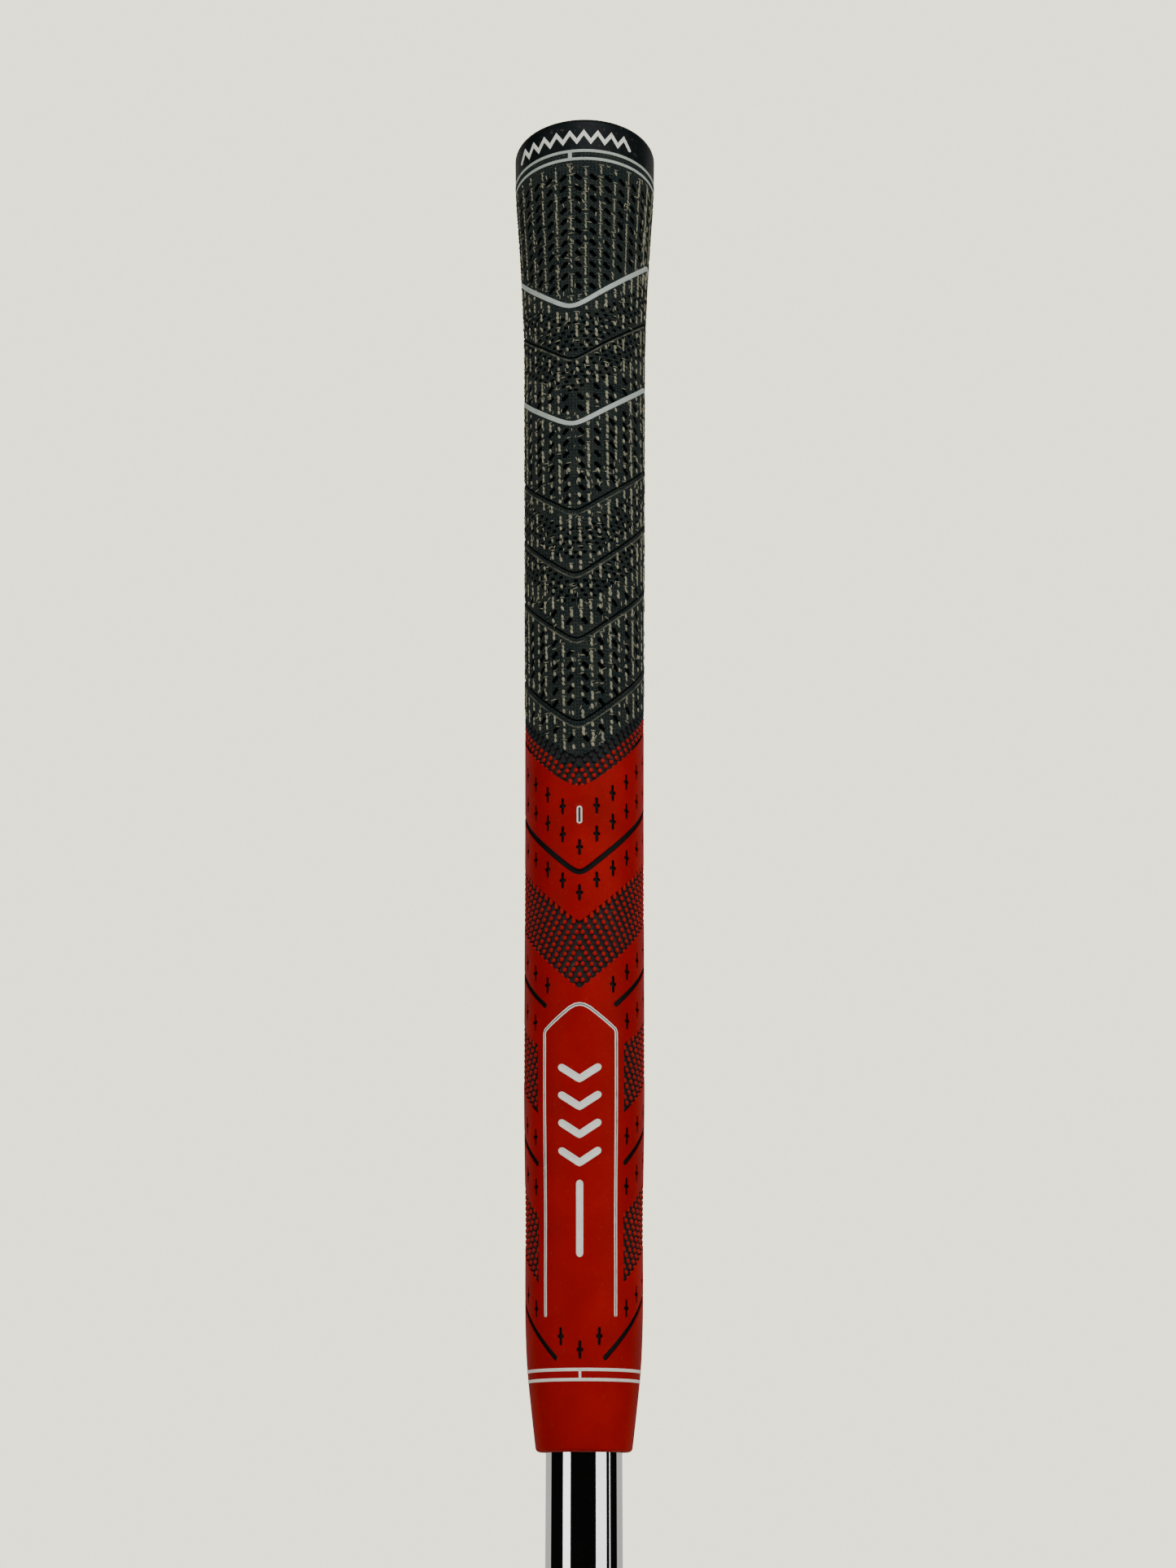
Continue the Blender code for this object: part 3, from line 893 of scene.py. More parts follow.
def thread_material():
    """Cotton: clean and soiled stretches, with a slanting lay."""
    colours = bpy.context.scene.grip_colours
    material, tree, shader = new_material("cotton_thread_finish", 0.9)
    grain = placed(tree, "grain", Size=2600.0, Drift=900.0)
    sheet = node(tree, "ShaderNodeUVMap", uv_map="sheet")
    lay = node(
        tree,
        "ShaderNodeTexWave",
        wave_type="BANDS",
        bands_direction="DIAGONAL",
        in_Scale=16.0,
        in_Distortion=1.5,
    )
    link(tree, sheet.outputs["UV"], lay.inputs["Vector"])
    soiled = mixed(tree, 0.62, rgba(colours.thread), rgba(colours.black))
    base = mixed(tree, grain["Tone"], soiled, rgba(colours.thread))
    base = mixed(tree, maths(tree, "MULTIPLY", lay.outputs["Fac"], 0.25), base, soiled)
    link(tree, base, shader.inputs["Base Color"])
    shader.inputs["Sheen Weight"].default_value = 0.2
    bump(tree, shader, ((lay.outputs["Fac"], 0.00005), (grain["Grain"], 0.00006)), 0.6)
    return material


def frame_line_material():
    """White along both edges of a line, with grey rubber showing down its middle."""
    colours = bpy.context.scene.grip_colours
    material, tree, shader = new_material("frame_line_finish")
    grain = placed(tree, "grain", Size=2600.0, Drift=420.0)
    ground = rgba(colours.ground)
    across = node(tree, "ShaderNodeAttribute", attribute_name="across")
    edge = ramp(tree, maths(tree, "ABSOLUTE", across.outputs["Fac"], 0.0), 0.28, 0.5)
    middle = mixed(tree, 0.55, mixed(tree, grain["Tone"], ground, rgba(colours.chevron)), ground)
    base = mixed(tree, edge, middle, rgba(colours.paint))
    base = mixed(tree, maths(tree, "MULTIPLY", grain["Speck"], 0.3), base, ground)
    link(tree, base, shader.inputs["Base Color"])
    bump(tree, shader, ((edge, 0.00005), (grain["Grain"], 0.00004)), 0.5)
    return material


def chrome_material():
    """Bright plating with a slow haze and a very fine rub along the shaft."""
    colours = bpy.context.scene.grip_colours
    material, tree, shader = new_material("chrome_finish", metallic=1.0)
    place = node(tree, "ShaderNodeTexCoord").outputs["Object"]
    stretched = node(tree, "ShaderNodeMapping", in_Scale=(1.0, 1.0, 0.05))
    link(tree, place, stretched.inputs["Vector"])
    haze = noise(tree, place, in_Scale=60.0, in_Detail=3.0)
    rub = noise(tree, stretched.outputs["Vector"], in_Scale=1600.0, in_Detail=2.0)
    tone = ramp(tree, haze.outputs["Fac"], 0.35, 0.7)
    base = mixed(tree, tone, rgba(colours.chrome), rgba(colours.chrome, 0.9))
    link(tree, base, shader.inputs["Base Color"])
    roughen(tree, shader, tone, 0.02, 0.03)
    bump(tree, shader, ((rub.outputs["Fac"], 0.0000001),), 0.02)
    return material


# ---------------------------------------------------------------- settings


def colour_property(name, description, default):
    return FloatVectorProperty(
        name=name,
        description=description,
        subtype="COLOR",
        size=3,
        min=0.0,
        max=1.0,
        default=default,
    )


def length_property(name, description, default):
    return FloatProperty(
        name=name, description=description, default=default, min=0.0, unit="LENGTH", precision=5
    )


def power_property(name, description, default):
    return FloatProperty(name=name, description=description, default=default, min=0.0, unit="POWER")


def strength_property(name, description, default):
    return FloatProperty(name=name, description=description, default=default, min=0.0)


class GripSizes(bpy.types.PropertyGroup):
    red_skin: length_property("Red skin", "Thickness of the red rubber over the core", 0.00055)
    cord_skin: length_property("Cord skin", "Thickness of the corded rubber over the core", 0.00055)
    nub_width: length_property("Nub width", "Width of one round nub", 0.00096)
    nub_height: length_property("Nub height", "Length of one nub along the grip", 0.00106)
    groove: length_property("Long groove", "Width of the long V groove", 0.0010)
    side_groove: length_property("Side groove", "Width of the short grooves at the sides", 0.0009)
    thread: length_property("Thread", "Width of a cotton thread", 0.00047)
    thread_proud: length_property("Thread height", "How far a thread stands above the rubber", 0.00012)
    line: length_property("Painted chevron", "Width of the painted chevron lines", 0.0010)
    ring: length_property("Cap rings", "Width of the rings below the cap", 0.00066)
    collar_ring: length_property("Collar rings", "Width of the rings above the collar", 0.00055)
    frame_line: length_property("Frame line", "Width of the line round the mark's field", 0.00066)
    paint: length_property("Paint height", "How far paint stands above the rubber", 0.00006)
    shaft_wall: length_property("Shaft wall", "Thickness of the steel tube's wall", 0.0006)
    rim: length_property("Cap rim", "Radius of the cap's rounded rim", 0.0020)
    vent: length_property("Vent hole", "Diameter of the hole through the cap", 0.0035)
    seed: IntProperty(name="Thread seed", description="Changes how the threads lie", default=7, min=0)


class GripColours(bpy.types.PropertyGroup):
    red: colour_property("Red rubber", "Colour of the lower skin", (0.385, 0.0008, 0.0003))
    # The ground is dark rubber set lighter and greyer than it is: partly painted sheen.
    ground: colour_property("Ground", "Dark rubber below the skins", (0.031, 0.022, 0.0235))
    groove: colour_property("Grooves", "Black at the bottom of the grooves", (0.0055, 0.005, 0.0055))
    black: colour_property("Corded rubber", "Colour of the upper skin", (0.0078, 0.0182, 0.0212))
    thread: colour_property("Thread", "Colour of the cotton cord", (0.415, 0.395, 0.275))
    chevron: colour_property("Chevron paint", "Grey of the chevrons and cap rings", (0.50, 0.56, 0.53))
    paint: colour_property("White paint", "White paint of the marks", (0.98, 0.99, 0.95))
    cap: colour_property("Cap", "Colour of the butt cap", (0.0030, 0.0062, 0.0070))
    dust: colour_property("Dust", "Colour of the dust in the rubber", (0.22, 0.20, 0.17))
    chrome: colour_property("Chrome", "Colour of the plated shaft", (0.93, 0.94, 0.93))
    tape: colour_property("Tape", "Colour of the paper tape", (0.70, 0.64, 0.48))
    backdrop: colour_property("Backdrop", "Colour of the studio", (0.77, 0.74, 0.565))


class StudioSizes(bpy.types.PropertyGroup):
    lens: FloatProperty(
        name="Lens", description="Focal length", default=50.25, min=1.0, unit="CAMERA"
    )
    distance: length_property("Camera distance", "From the shaft's axis to the camera", 0.4183)
    height: length_property("Camera height", "Above the shaft's cut end", 0.0226)
    aside: FloatProperty(
        name="Camera aside", description="To the right", default=0.00072, unit="LENGTH"
    )
    pitch: FloatProperty(
        name="Camera pitch",
        description="Up from level",
        default=math.radians(18.0),
        subtype="ANGLE",
    )
    floor_drop: length_property("Floor drop", "From the shaft's cut end down to the floor", 0.12)
    left_power: power_property("Left lamp", "Power of the left strip", 6.2)
    right_power: power_property("Right lamp", "Power of the right strip", 7.1)
    top_power: power_property("Top lamp", "Power of the overhead lamp", 11.5)
    room: strength_property("Room light", "Strength of the dim room", 0.003)
    behind: strength_property("Light behind", "Strength of the wall behind", 0.55)
    backdrop: strength_property("Backdrop light", "Strength of the backdrop", 2.9)


def millimetres(length):
    return length * 1000


# ---------------------------------------------------------------- operators, one for each piece


class GRIP_OT_shaft(bpy.types.Operator):
    """Chrome-plated steel tube that the grip is bonded to"""

    bl_idname = "grip.shaft"
    bl_label = "Shaft"

    def execute(self, context):
        sizes = context.scene.grip_sizes
        length = SHAFT_HIGH.z - SHAFT_LOW.z
        deselect_all()
        bpy.ops.mesh.primitive_cylinder_add(
            vertices=128,
            radius=SHAFT_HIGH.x,
            depth=length,
            end_fill_type="NOTHING",
            location=(0, 0, SHAFT_LOW.z + length / 2),
        )
        tube = context.object
        bpy.ops.object.transform_apply(location=True)
        apply_modifier(tube, "SOLIDIFY", thickness=sizes.shaft_wall, offset=-1.0)
        apply_modifier(tube, "BEVEL", width=0.00012, segments=2, limit_method="ANGLE")
        finish_piece(tube, "shaft_tube", chrome_material(), ("shaft",))
        return {"FINISHED"}


class GRIP_OT_tape(bpy.types.Operator):
    """Paper tape between the shaft and the grip"""

    bl_idname = "grip.tape"
    bl_label = "Tape"

    def execute(self, context):
        tape = NODES["grip_tape"]
        tape.data.materials.clear()
        tape.data.materials.append(tape_material())
        return {"FINISHED"}


class GRIP_OT_core(bpy.types.Operator):
    """Dark rubber core that shows at the bottom of every cut"""

    bl_idname = "grip.core"
    bl_label = "Core"

    def execute(self, context):
        depth = millimetres(context.scene.grip_sizes.red_skin)
        per = UPPER_MM_PER_DEGREE
        core = slab("core", per, lambda turn: 1.0, lambda turn: CAP_FOOT + 1.0, 1.0, 90)
        for vertex in core.data.vertices:
            vertex.co.z -= depth
        wrap(core, per)
        finish = ground_material()
        finish_piece(core, "core_ground", finish, ("core_sleeve",), weighted=False)
        return {"FINISHED"}


RED_FLOOR = -0.45  # floor of the cutters that go through the red skin
MOUTH_CUTS = (0.08, 0.22, 0.42, MOUTH_ROLL)


class GRIP_OT_red_sleeve(bpy.types.Operator):
    """Red rubber skin with its windows, V grooves and little crosses cut through"""

    bl_idname = "grip.red_sleeve"
    bl_label = "Red sleeve"

    def execute(self, context):
        sizes = context.scene.grip_sizes
        per = LOWER_MM_PER_DEGREE
        skin = slab("red_skin", per, lambda turn: 0.0, red_edge, millimetres(sizes.red_skin), 52)
        edit(skin)
        for height in MOUTH_CUTS:
            bpy.ops.mesh.select_all(action="SELECT")
            bpy.ops.mesh.bisect(plane_co=(0, height, 0), plane_no=(0, 1, 0))
        done()
        windows = [window("band", -OVERLAP_TURN, OVERLAP_TURN, band_low, band_high, per)]
        for low, high, start in SIDE_FIELDS:
            windows.append(window("field", start, HALF_TURN - start, low, high, per))
            windows.append(window("field", start - HALF_TURN, -start, low, high, per))
        cut(skin, *windows)
        levels = groove_levels(millimetres(sizes.groove), RED_FLOOR)
        grooves = [strip("groove", vee_path(106.9, 0.188, 6, per), levels)]
        levels = groove_levels(millimetres(sizes.side_groove), RED_FLOOR)
        for start, foot, slope in PARTIAL_GROOVES:
            apex = foot - vee(start, slope, PARTIAL_ROUNDING)
            for one_side in (1, -1):
                ends = sorted((start * one_side, (HALF_TURN - start) * one_side))
                path = vee_path(apex, slope, PARTIAL_ROUNDING, per, *ends)
                grooves.append(strip("groove", path, levels, round_ends=True))
        cut(skin, *grooves)
        levels = ((PROUD, 0.3), (0.0, 0.06), (-0.1, 0.0), (RED_FLOOR, -0.03))
        places = [(turn * per, y, 0) for turn, y in plus_places()]
        cut(skin, copies("crosses", [prism("cross", plus_outline, levels)], places))
        wrap(skin, per)
        finish = red_material()
        finish_piece(skin, "red_sleeve_skin", finish, ("lower_rubber_sleeve",))
        return {"FINISHED"}


LATTICE_ANCHOR = 94.0 + 2 * LATTICE_RISE
JOINT_ANCHOR = 125.5
NUB_MARGIN = 0.35
BLACK_NUB_DEPTH = 2.3  # the joint's nubs this close below the cord are black


def nub(sizes):
    """One nub: a tapered peg with a rounded top."""
    width, tall = millimetres(sizes.nub_width), millimetres(sizes.nub_height)
    depth = millimetres(sizes.red_skin)
    levels = ((-0.01, -0.32), (-0.04, -0.18), (-0.14, -0.06), (-depth - 0.05, 0.02))
    return prism("nub", oval_outline(width, tall, 8), levels)


class GRIP_OT_nubs(bpy.types.Operator):
    """Round nubs on the dark ground of the band, the side fields and the joint"""

    bl_idname = "grip.nubs"
    bl_label = "Nubs"

    def execute(self, context):
        sizes, colours = context.scene.grip_sizes, context.scene.grip_colours
        per = LOWER_MM_PER_DEGREE
        red = lattice(LATTICE_ANCHOR, band_low, band_high, NUB_MARGIN)
        red += teeth(red, band_low, band_high)
        for low, high, start in SIDE_FIELDS:
            field = lattice(LATTICE_ANCHOR, low, high, NUB_MARGIN, start=start - 1.0)
            red += field + teeth(field, low, high)
        joint = lattice(JOINT_ANCHOR, red_edge, cord_edge, NUB_MARGIN)
        joint += teeth(joint, red_edge, cord_edge)
        black = [place for place in joint if place[1] > cord_edge(place[0]) - BLACK_NUB_DEPTH]
        red += [place for place in joint if place not in black]
        bright = [part * 1.08 for part in colours.red]
        # The low colour darkens each nub towards its foot, as dark paint and as painted shade.
        for colour, places, top, low, wall, floor in (
            ("red", red, bright, colours.ground, -0.09, -0.40),
            ("black", black, colours.black, colours.groove, -0.12, -0.5),
        ):
            nubs = copies("nubs", [nub(sizes)], [(turn * per, y, 0) for turn, y in places])
            wrap(nubs, per, closed=False)
            finish = nub_material(f"{colour}_nub_finish", top, low, wall, floor)
            finish_piece(nubs, f"{colour}_nubs", finish, smooth=60.0)
        return {"FINISHED"}


class GRIP_OT_cord_sleeve(bpy.types.Operator):
    """Black corded skin with its grooves, leaning slots and fields of pits"""

    bl_idname = "grip.cord_sleeve"
    bl_label = "Cord sleeve"

    def execute(self, context):
        sizes = context.scene.grip_sizes
        per = UPPER_MM_PER_DEGREE
        thickness = millimetres(sizes.cord_skin)
        skin = slab("cord_skin", per, cord_edge, lambda turn: CAP_FOOT, thickness, 56)
        grooves, creases = [], []
        for apex, slope, rounding, width in DEEP_GROOVES:
            levels = ((PROUD, width + 0.5), (0.0, width + 0.1), (-0.11, width), (-0.115, width * 0.9))
            grooves.append(strip("groove", vee_path(apex, slope, rounding, per), levels))
            # The crease runs deep along the groove's upper edge, where the depth mask paints it black:
            # a painted shadow of the upper wall.
            path = vee_path(apex + width / 2 - 0.1, slope, rounding, per)
            creases.append(strip("crease", path, ((PROUD, 0.4), (-0.2, 0.3), (-0.47, 0.26))))
        cut(skin, *grooves)
        cut(skin, *creases)
        levels = ((PROUD, 0.25), (0.0, 0.07), (-0.1, 0.0), (-0.48, -0.05))
        left = prism("slot", lambda grow: slot_outline(grow, 1), levels)
        right = prism("slot", lambda grow: slot_outline(grow, -1), levels)
        places = [(turn * per, y, which) for turn, y, which in slot_places()]
        cut(skin, copies("slots", [left, right], places))
        pit = prism("pit", oval_outline(1.12, 0.76, 6), ((PROUD, 0.15), (-0.32, -0.1)))
        places = []
        for low, high, slope, rounding in PIT_FIELDS:
            edges = [vee_edge(apex, slope, rounding) for apex in (low, high)]
            found = lattice(217.5, *edges, 0.0)
            places += [(turn * per, y, 0) for turn, y in found if not near_line(turn, y, 0.6)]
        cut(skin, copies("pits", [pit], places))
        wrap(skin, per)
        finish = corded_material()
        finish_piece(skin, "cord_sleeve_skin", finish, ("upper_cord_sleeve",))
        # Painted highlight: a pale raised lip below each groove, where its lower edge catches the
        # light.
        lips = []
        for apex, slope, rounding, width in DEEP_GROOVES:
            path = vee_path(apex - width * 0.62 - 0.16, slope, rounding, per, -HALF_TURN, HALF_TURN)
            lip = strip("lip", path, ((0.07, 0.12), (0.02, 0.3), (-0.2, 0.34)))
            wrap(lip, per)
            lips.append(lip)
        finish_piece(join(lips), "groove_highlight_lips", groove_highlight_material(), smooth=60.0)
        return {"FINISHED"}


# Columns of stitches: lowest and highest place, number of columns, width as a share of a
# thread, and how often a short rung lies across the end of a run of stitches.
STITCH_COLUMNS = ((130.0, 262.0, 39, 1.3, 0.4), (226.0, 294.0, BUTT_COLUMNS, 0.78, 0.85))
STITCH_RISE = 0.9
CLEAR_ACROSS, CLEAR_ALONG = 0.55, 0.3  # from a stitch's edge to the middle of a slot
STITCH_LOW, STITCH_HIGH = 130.0, 262.9
SIDE_TURN = 48.0  # past this turn, runs of stitches are longer
FINE_COLUMNS = 78
LOOSE_THREADS = 420
EXTRA_COLUMNS, EXTRA_TURN, EXTRA_STEP = 6, 72.0, 2.6


class GRIP_OT_threads(bpy.types.Operator):
    """Cotton threads that come to the surface of the corded rubber"""

    bl_idname = "grip.threads"
    bl_label = "Threads"

    def execute(self, context):
        sizes = context.scene.grip_sizes
        per = UPPER_MM_PER_DEGREE
        chance = random.Random(sizes.seed)
        width, proud = millimetres(sizes.thread), millimetres(sizes.thread_proud)
        deselect_all()
        bpy.ops.mesh.primitive_uv_sphere_add(segments=6, ring_count=4, radius=0.5)
        thread = context.object
        places, stretch, lean = [], [], []
        taken = slot_places()

        def stitch(turn, y, across, along, degrees, height=2.0):
            """Lay one stitch, unless it would cross a slot, a groove or an edge."""
            on_skin = cord_edge(turn) + 0.3 < y < STITCH_HIGH
            if not on_skin or near_line(turn, y, along * 0.4 + 0.1):
                return
            for other, middle, _ in taken:
                beside = abs(turn - other) * per < across / 2 + CLEAR_ACROSS
                if beside and abs(y - middle) < along / 2 + CLEAR_ALONG:
                    return
            places.append((turn * per, y, 0))
            stretch.append((across, along, proud * height))
            lean.append(math.radians(degrees))

        for low, high, columns, thick, rung in STITCH_COLUMNS:
            on_butt = columns == BUTT_COLUMNS
            for column in range(columns):
                turn = 360.0 * column / columns - HALF_TURN
                at_side = abs(math.remainder(turn, HALF_TURN)) > SIDE_TURN
                y = low + chance.random() * 3
                while y < high:
                    drift = turn + chance.uniform(-0.45, 0.45)
                    for _ in range(chance.choice((1, 2, 2, 3)) + 2 * at_side):
                        above = y > line_height(drift, HIGH_LINE)
                        keep = 0.5 if in_pits(drift, y) else 0.97
                        across = width * thick * chance.uniform(0.8, 1.2)
                        if above == on_butt and chance.random() < keep:
                            stitch(drift, y, across, chance.uniform(0.95, 1.25), chance.gauss(16, 5))
                        y += STITCH_RISE
                    if above == on_butt and chance.random() < rung:
                        across = chance.uniform(0.8, 1.4)
                        stitch(drift, y - 0.2, across, 0.24, chance.gauss(0, 9), 1.8)
                    y += chance.uniform(0.3, 1.3)
        for column in range(FINE_COLUMNS):
            turn = 360.0 * (column + 0.5) / FINE_COLUMNS - HALF_TURN
            y = STITCH_LOW
            while y < 264.0:
                length = chance.uniform(0.5, 1.3)
                if chance.random() < 0.24:
                    across = width * chance.uniform(0.35, 0.6)
                    drift = turn + chance.uniform(-1.2, 1.2)
                    stitch(drift, y, across, length, chance.gauss(0, 14), 1.5)
                y += length + chance.uniform(0.4, 2.0)
        for _ in range(LOOSE_THREADS):
            turn, y = chance.uniform(-179, 179), chance.uniform(131, 263)
            stitch(turn, y, chance.uniform(0.7, 1.6), 0.22, chance.gauss(0, 22), 1.6)
        for column in range(EXTRA_COLUMNS):
            y = 240.0
            while y < 262.0:
                if chance.random() < 0.6:
                    turn = EXTRA_TURN + EXTRA_STEP * column + chance.uniform(-0.8, 0.8)
                    stitch(turn, y, width * chance.uniform(0.5, 0.8), 1.4, chance.gauss(4, 8))
                y += chance.uniform(1.2, 2.2)
        cord = copies("threads", [thread], places, np.array(stretch), lean)
        wrap(cord, per, closed=False)
        finish = thread_material()
        finish_piece(cord, "cord_threads", finish, ("cord_fabric",), 70.0, False)
        return {"FINISHED"}


def rimmed_levels(width):
    """A broad mark: a raised soft rim round a slightly sunk middle."""
    rim = ((0.03, width - 0.66), (0.10, width - 0.34), (0.09, width - 0.14))
    return (*rim, (0.0, width), (-0.2, width))


def painted(name, path, width, per, sizes, closed=False, round_ends=False):
    """A painted line or mark, bent round the grip."""
    if width > BROAD_MARK:
        levels = rimmed_levels(width)
    else:
        levels = paint_levels(width, millimetres(sizes.paint))
    line = strip(name, path if closed else dense(path), levels, round_ends=round_ends)
    wrap(line, per, closed=closed)
    return line


def ring_pair(heights, width, tick, tick_width, per, sizes):
    """Two rings round the grip, joined by a tick on the front."""
    pieces = []
    for height in heights:
        path = vee_path(height, 0.0, 1, per, -HALF_TURN, HALF_TURN)
        pieces.append(painted("ring", path, width, per, sizes, closed=True))
    pieces.append(painted("tick", [(0, height) for height in tick], tick_width, per, sizes))
    return join(pieces)


class GRIP_OT_lines(bpy.types.Operator):
    """Grey chevrons, the rings below the cap and the rings above the collar"""

    bl_idname = "grip.lines"
    bl_label = "Painted lines"

    def execute(self, context):
        sizes, colours = context.scene.grip_sizes, context.scene.grip_colours
        grey = paint_material("chevron_paint_finish", colours.chevron, colours.black)
        white = paint_material("white_paint_finish", colours.paint, colours.dust, 0.15)
        per = UPPER_MM_PER_DEGREE
        width = millimetres(sizes.line)
        names = ("high_chevron_inlay", "low_chevron_inlay")
        for name, (apex, slope, rounding, _) in zip(names, LINES):
            path = vee_path(apex, slope, rounding, per, -HALF_TURN, HALF_TURN)
            line = painted(name, path, width, per, sizes, closed=True)
            finish_piece(line, name + "_line", grey, (name,))
        heights = (CAP_FOOT - 0.45, CAP_FOOT - 2.35)
        middle = CAP_FOOT - 1.4
        tick = (middle - 0.7, middle + 0.7)
        rings = ring_pair(heights, millimetres(sizes.ring), tick, 0.7, per, sizes)
        finish_piece(rings, "cap_rings", grey, ("cap_ring_inlay",))
        per = LOWER_MM_PER_DEGREE
        width = millimetres(sizes.collar_ring)
        rings = ring_pair((14.15, 12.4), width, (12.5, 14.05), 0.5, per, sizes)
        finish_piece(rings, "collar_rings", white, ("collar_ring_inlay",))
        return {"FINISHED"}


FRAME_TURN = 35.8
FRAME_FOOT, FRAME_SHOULDER, FRAME_POINT = 23.8, 75.9, 81.0
MARK_COUNT, MARK_TOP, MARK_STEP, MARK_WIDTH = 4, 69.0, 5.2, 1.4
BAR_FOOT, BAR_LENGTH, BAR_PARTS = 34.7, 12.6, 6
SLIT_LOW, SLIT_HIGH, SLIT_HALF_WIDTH = 117.15, 119.7, 0.38


class GRIP_OT_marks(bpy.types.Operator):
    """Frame line, alignment mark and the plain chevrons and bar inside the frame"""

    bl_idname = "grip.marks"
    bl_label = "Marks"

    def execute(self, context):
        sizes, colours = context.scene.grip_sizes, context.scene.grip_colours
        white = bpy.data.materials["white_paint_finish"]
        per = LOWER_MM_PER_DEGREE
        side = FRAME_TURN * per
        left = [(-side, FRAME_FOOT), (-side, FRAME_SHOULDER), (-side + 0.25, 76.5)]
        left += [(-1.9, 80.35), (-0.9, 80.85)]
        path = dense(left + [(0, FRAME_POINT)] + [(-x, y) for x, y in left[::-1]])
        width = millimetres(sizes.frame_line)
        line = strip("frame", path, paint_levels(width, 0.06), round_ends=True)
        across = line.data.attributes.new("across", "FLOAT", "POINT")
        points = [Vector(point) for point in path]
        for vertex, value in zip(line.data.vertices, across.data):
            flat = vertex.co.to_2d()
            nearest = min(range(len(path) - 1), key=lambda j: (points[j] - flat).length)
            ahead = (points[nearest + 1] - points[nearest]).normalized()
            away = flat - points[nearest]
            value.value = (ahead.x * away.y - ahead.y * away.x) / (width / 2)
        wrap(line, per, closed=False)
        finish = frame_line_material()
        finish_piece(line, "frame_line", finish, ("frame_line_inlay",))
        pieces = []
        for i in range(MARK_COUNT):
            y = MARK_TOP - MARK_STEP * i
            path = [(-3.5, y), (-1.8, y - 1.1), (-0.35, y - 2.05)]
            path += [(0, y - 2.2)] + [(-a, b) for a, b in path[::-1]]
            pieces.append(painted("chevron", path, MARK_WIDTH, per, sizes, round_ends=True))
        path = [(0, BAR_FOOT + BAR_LENGTH * i / BAR_PARTS) for i in range(BAR_PARTS + 1)]
        pieces.append(painted("bar", path, MARK_WIDTH, per, sizes, round_ends=True))
        nodes = [f"mark_chevron_{i + 1}_inlay" for i in range(MARK_COUNT)] + ["mark_bar_inlay"]
        finish_piece(join(pieces), "field_marks", white, nodes)
        turns = np.radians(np.arange(0, 181, 30))
        turned = [(SLIT_HALF_WIDTH * math.cos(a), SLIT_HALF_WIDTH * math.sin(a)) for a in turns]
        path = [(x, SLIT_HIGH + y) for x, y in turned] + [(-x, SLIT_LOW - y) for x, y in turned]
        path.append(path[0])
        outline = painted("outline", path, 0.3, per, sizes)
        slit = strip("slit", [(0, SLIT_LOW), (0, SLIT_HIGH)], paint_levels(0.5, 0.02), round_ends=True)
        wrap(slit, per, closed=False)
        finish_piece(outline, "alignment_mark", white, ("alignment_mark_inlay",))
        dark = paint_material("slit_finish", colours.ground, colours.dust)
        finish_piece(slit, "alignment_slit", dark)
        return {"FINISHED"}


# The zigzag on the cap: number of points, turn of its ends, middle and swing.
ZIGZAG_POINTS, ZIGZAG_TURN, ZIGZAG_MIDDLE, ZIGZAG_SWING = 19, 51.0, GRIP_TOP - 5.2, 1.1
LEDGE, LIP, LIP_DEPTH = 0.0012, 0.0005, 0.0003  # the cap's top: flat ledge, then a shallow dish
VENT_LIP, VENT_DEPTH = 0.0003, 0.0036


class GRIP_OT_cap(bpy.types.Operator):
    """Butt cap with its rounded rim, its vent hole and a plain zigzag line"""

    bl_idname = "grip.cap"
    bl_label = "Butt cap"

    def execute(self, context):
        sizes = context.scene.grip_sizes
        foot = MOUTH + CAP_FOOT / 1000
        tall = CAP_TOP - foot
        radius = CAP_RADIUS / 1000
        deselect_all()
        bpy.ops.mesh.primitive_cylinder_add(
            vertices=128, radius=radius, depth=tall, location=(0, 0, foot + tall / 2)
        )
        cap = context.object
        bpy.ops.object.transform_apply(location=True)
        for vertex in cap.data.vertices:
            if vertex.co.z < foot + 0.0001:
                vertex.co.x *= float(skin_radius(CAP_FOOT)) / CAP_RADIUS
                vertex.co.y *= float(skin_radius(CAP_FOOT)) / CAP_RADIUS
        edit(cap, "DESELECT")
        bpy.context.tool_settings.mesh_select_mode = (False, True, False)
        done()
        for edge in cap.data.edges:
            edge.select = all(cap.data.vertices[i].co.z > CAP_TOP - 0.0001 for i in edge.vertices)
        bpy.ops.object.mode_set(mode="EDIT")
        bpy.ops.mesh.bevel(offset=sizes.rim, segments=8, profile=0.5)
        done()
        choose_faces(cap, lambda face: face.normal.z > 0.99 and len(face.vertices) > 8)
        inner = radius - sizes.rim
        floor = inner - (LEDGE + LIP) - sizes.vent / 2 - VENT_LIP
        for thickness, depth in ((LEDGE, 0.0), (LIP, -LIP_DEPTH), (floor, 0.0), (VENT_LIP, -0.0002)):
            bpy.ops.mesh.inset(thickness=thickness, depth=depth)
        bpy.ops.mesh.extrude_region_move(TRANSFORM_OT_translate={"value": (0, 0, -VENT_DEPTH)})
        bpy.context.tool_settings.mesh_select_mode = (True, False, False)
        done()
        finish_piece(cap, "cap_body", cap_material(), ("butt_cap",), 40.0)
        per = math.radians(CAP_RADIUS)
        path = []
        for i in range(ZIGZAG_POINTS):
            turn = -ZIGZAG_TURN + 2 * ZIGZAG_TURN * i / (ZIGZAG_POINTS - 1)
            swing = ZIGZAG_SWING if i % 2 else -ZIGZAG_SWING
            path.append((turn * per, ZIGZAG_MIDDLE + swing))
        zigzag = painted("zigzag", path, 0.8, per, sizes, round_ends=True)
        white = bpy.data.materials["white_paint_finish"]
        finish_piece(zigzag, "cap_zigzag", white, ("cap_mark_inlay",))
        return {"FINISHED"}


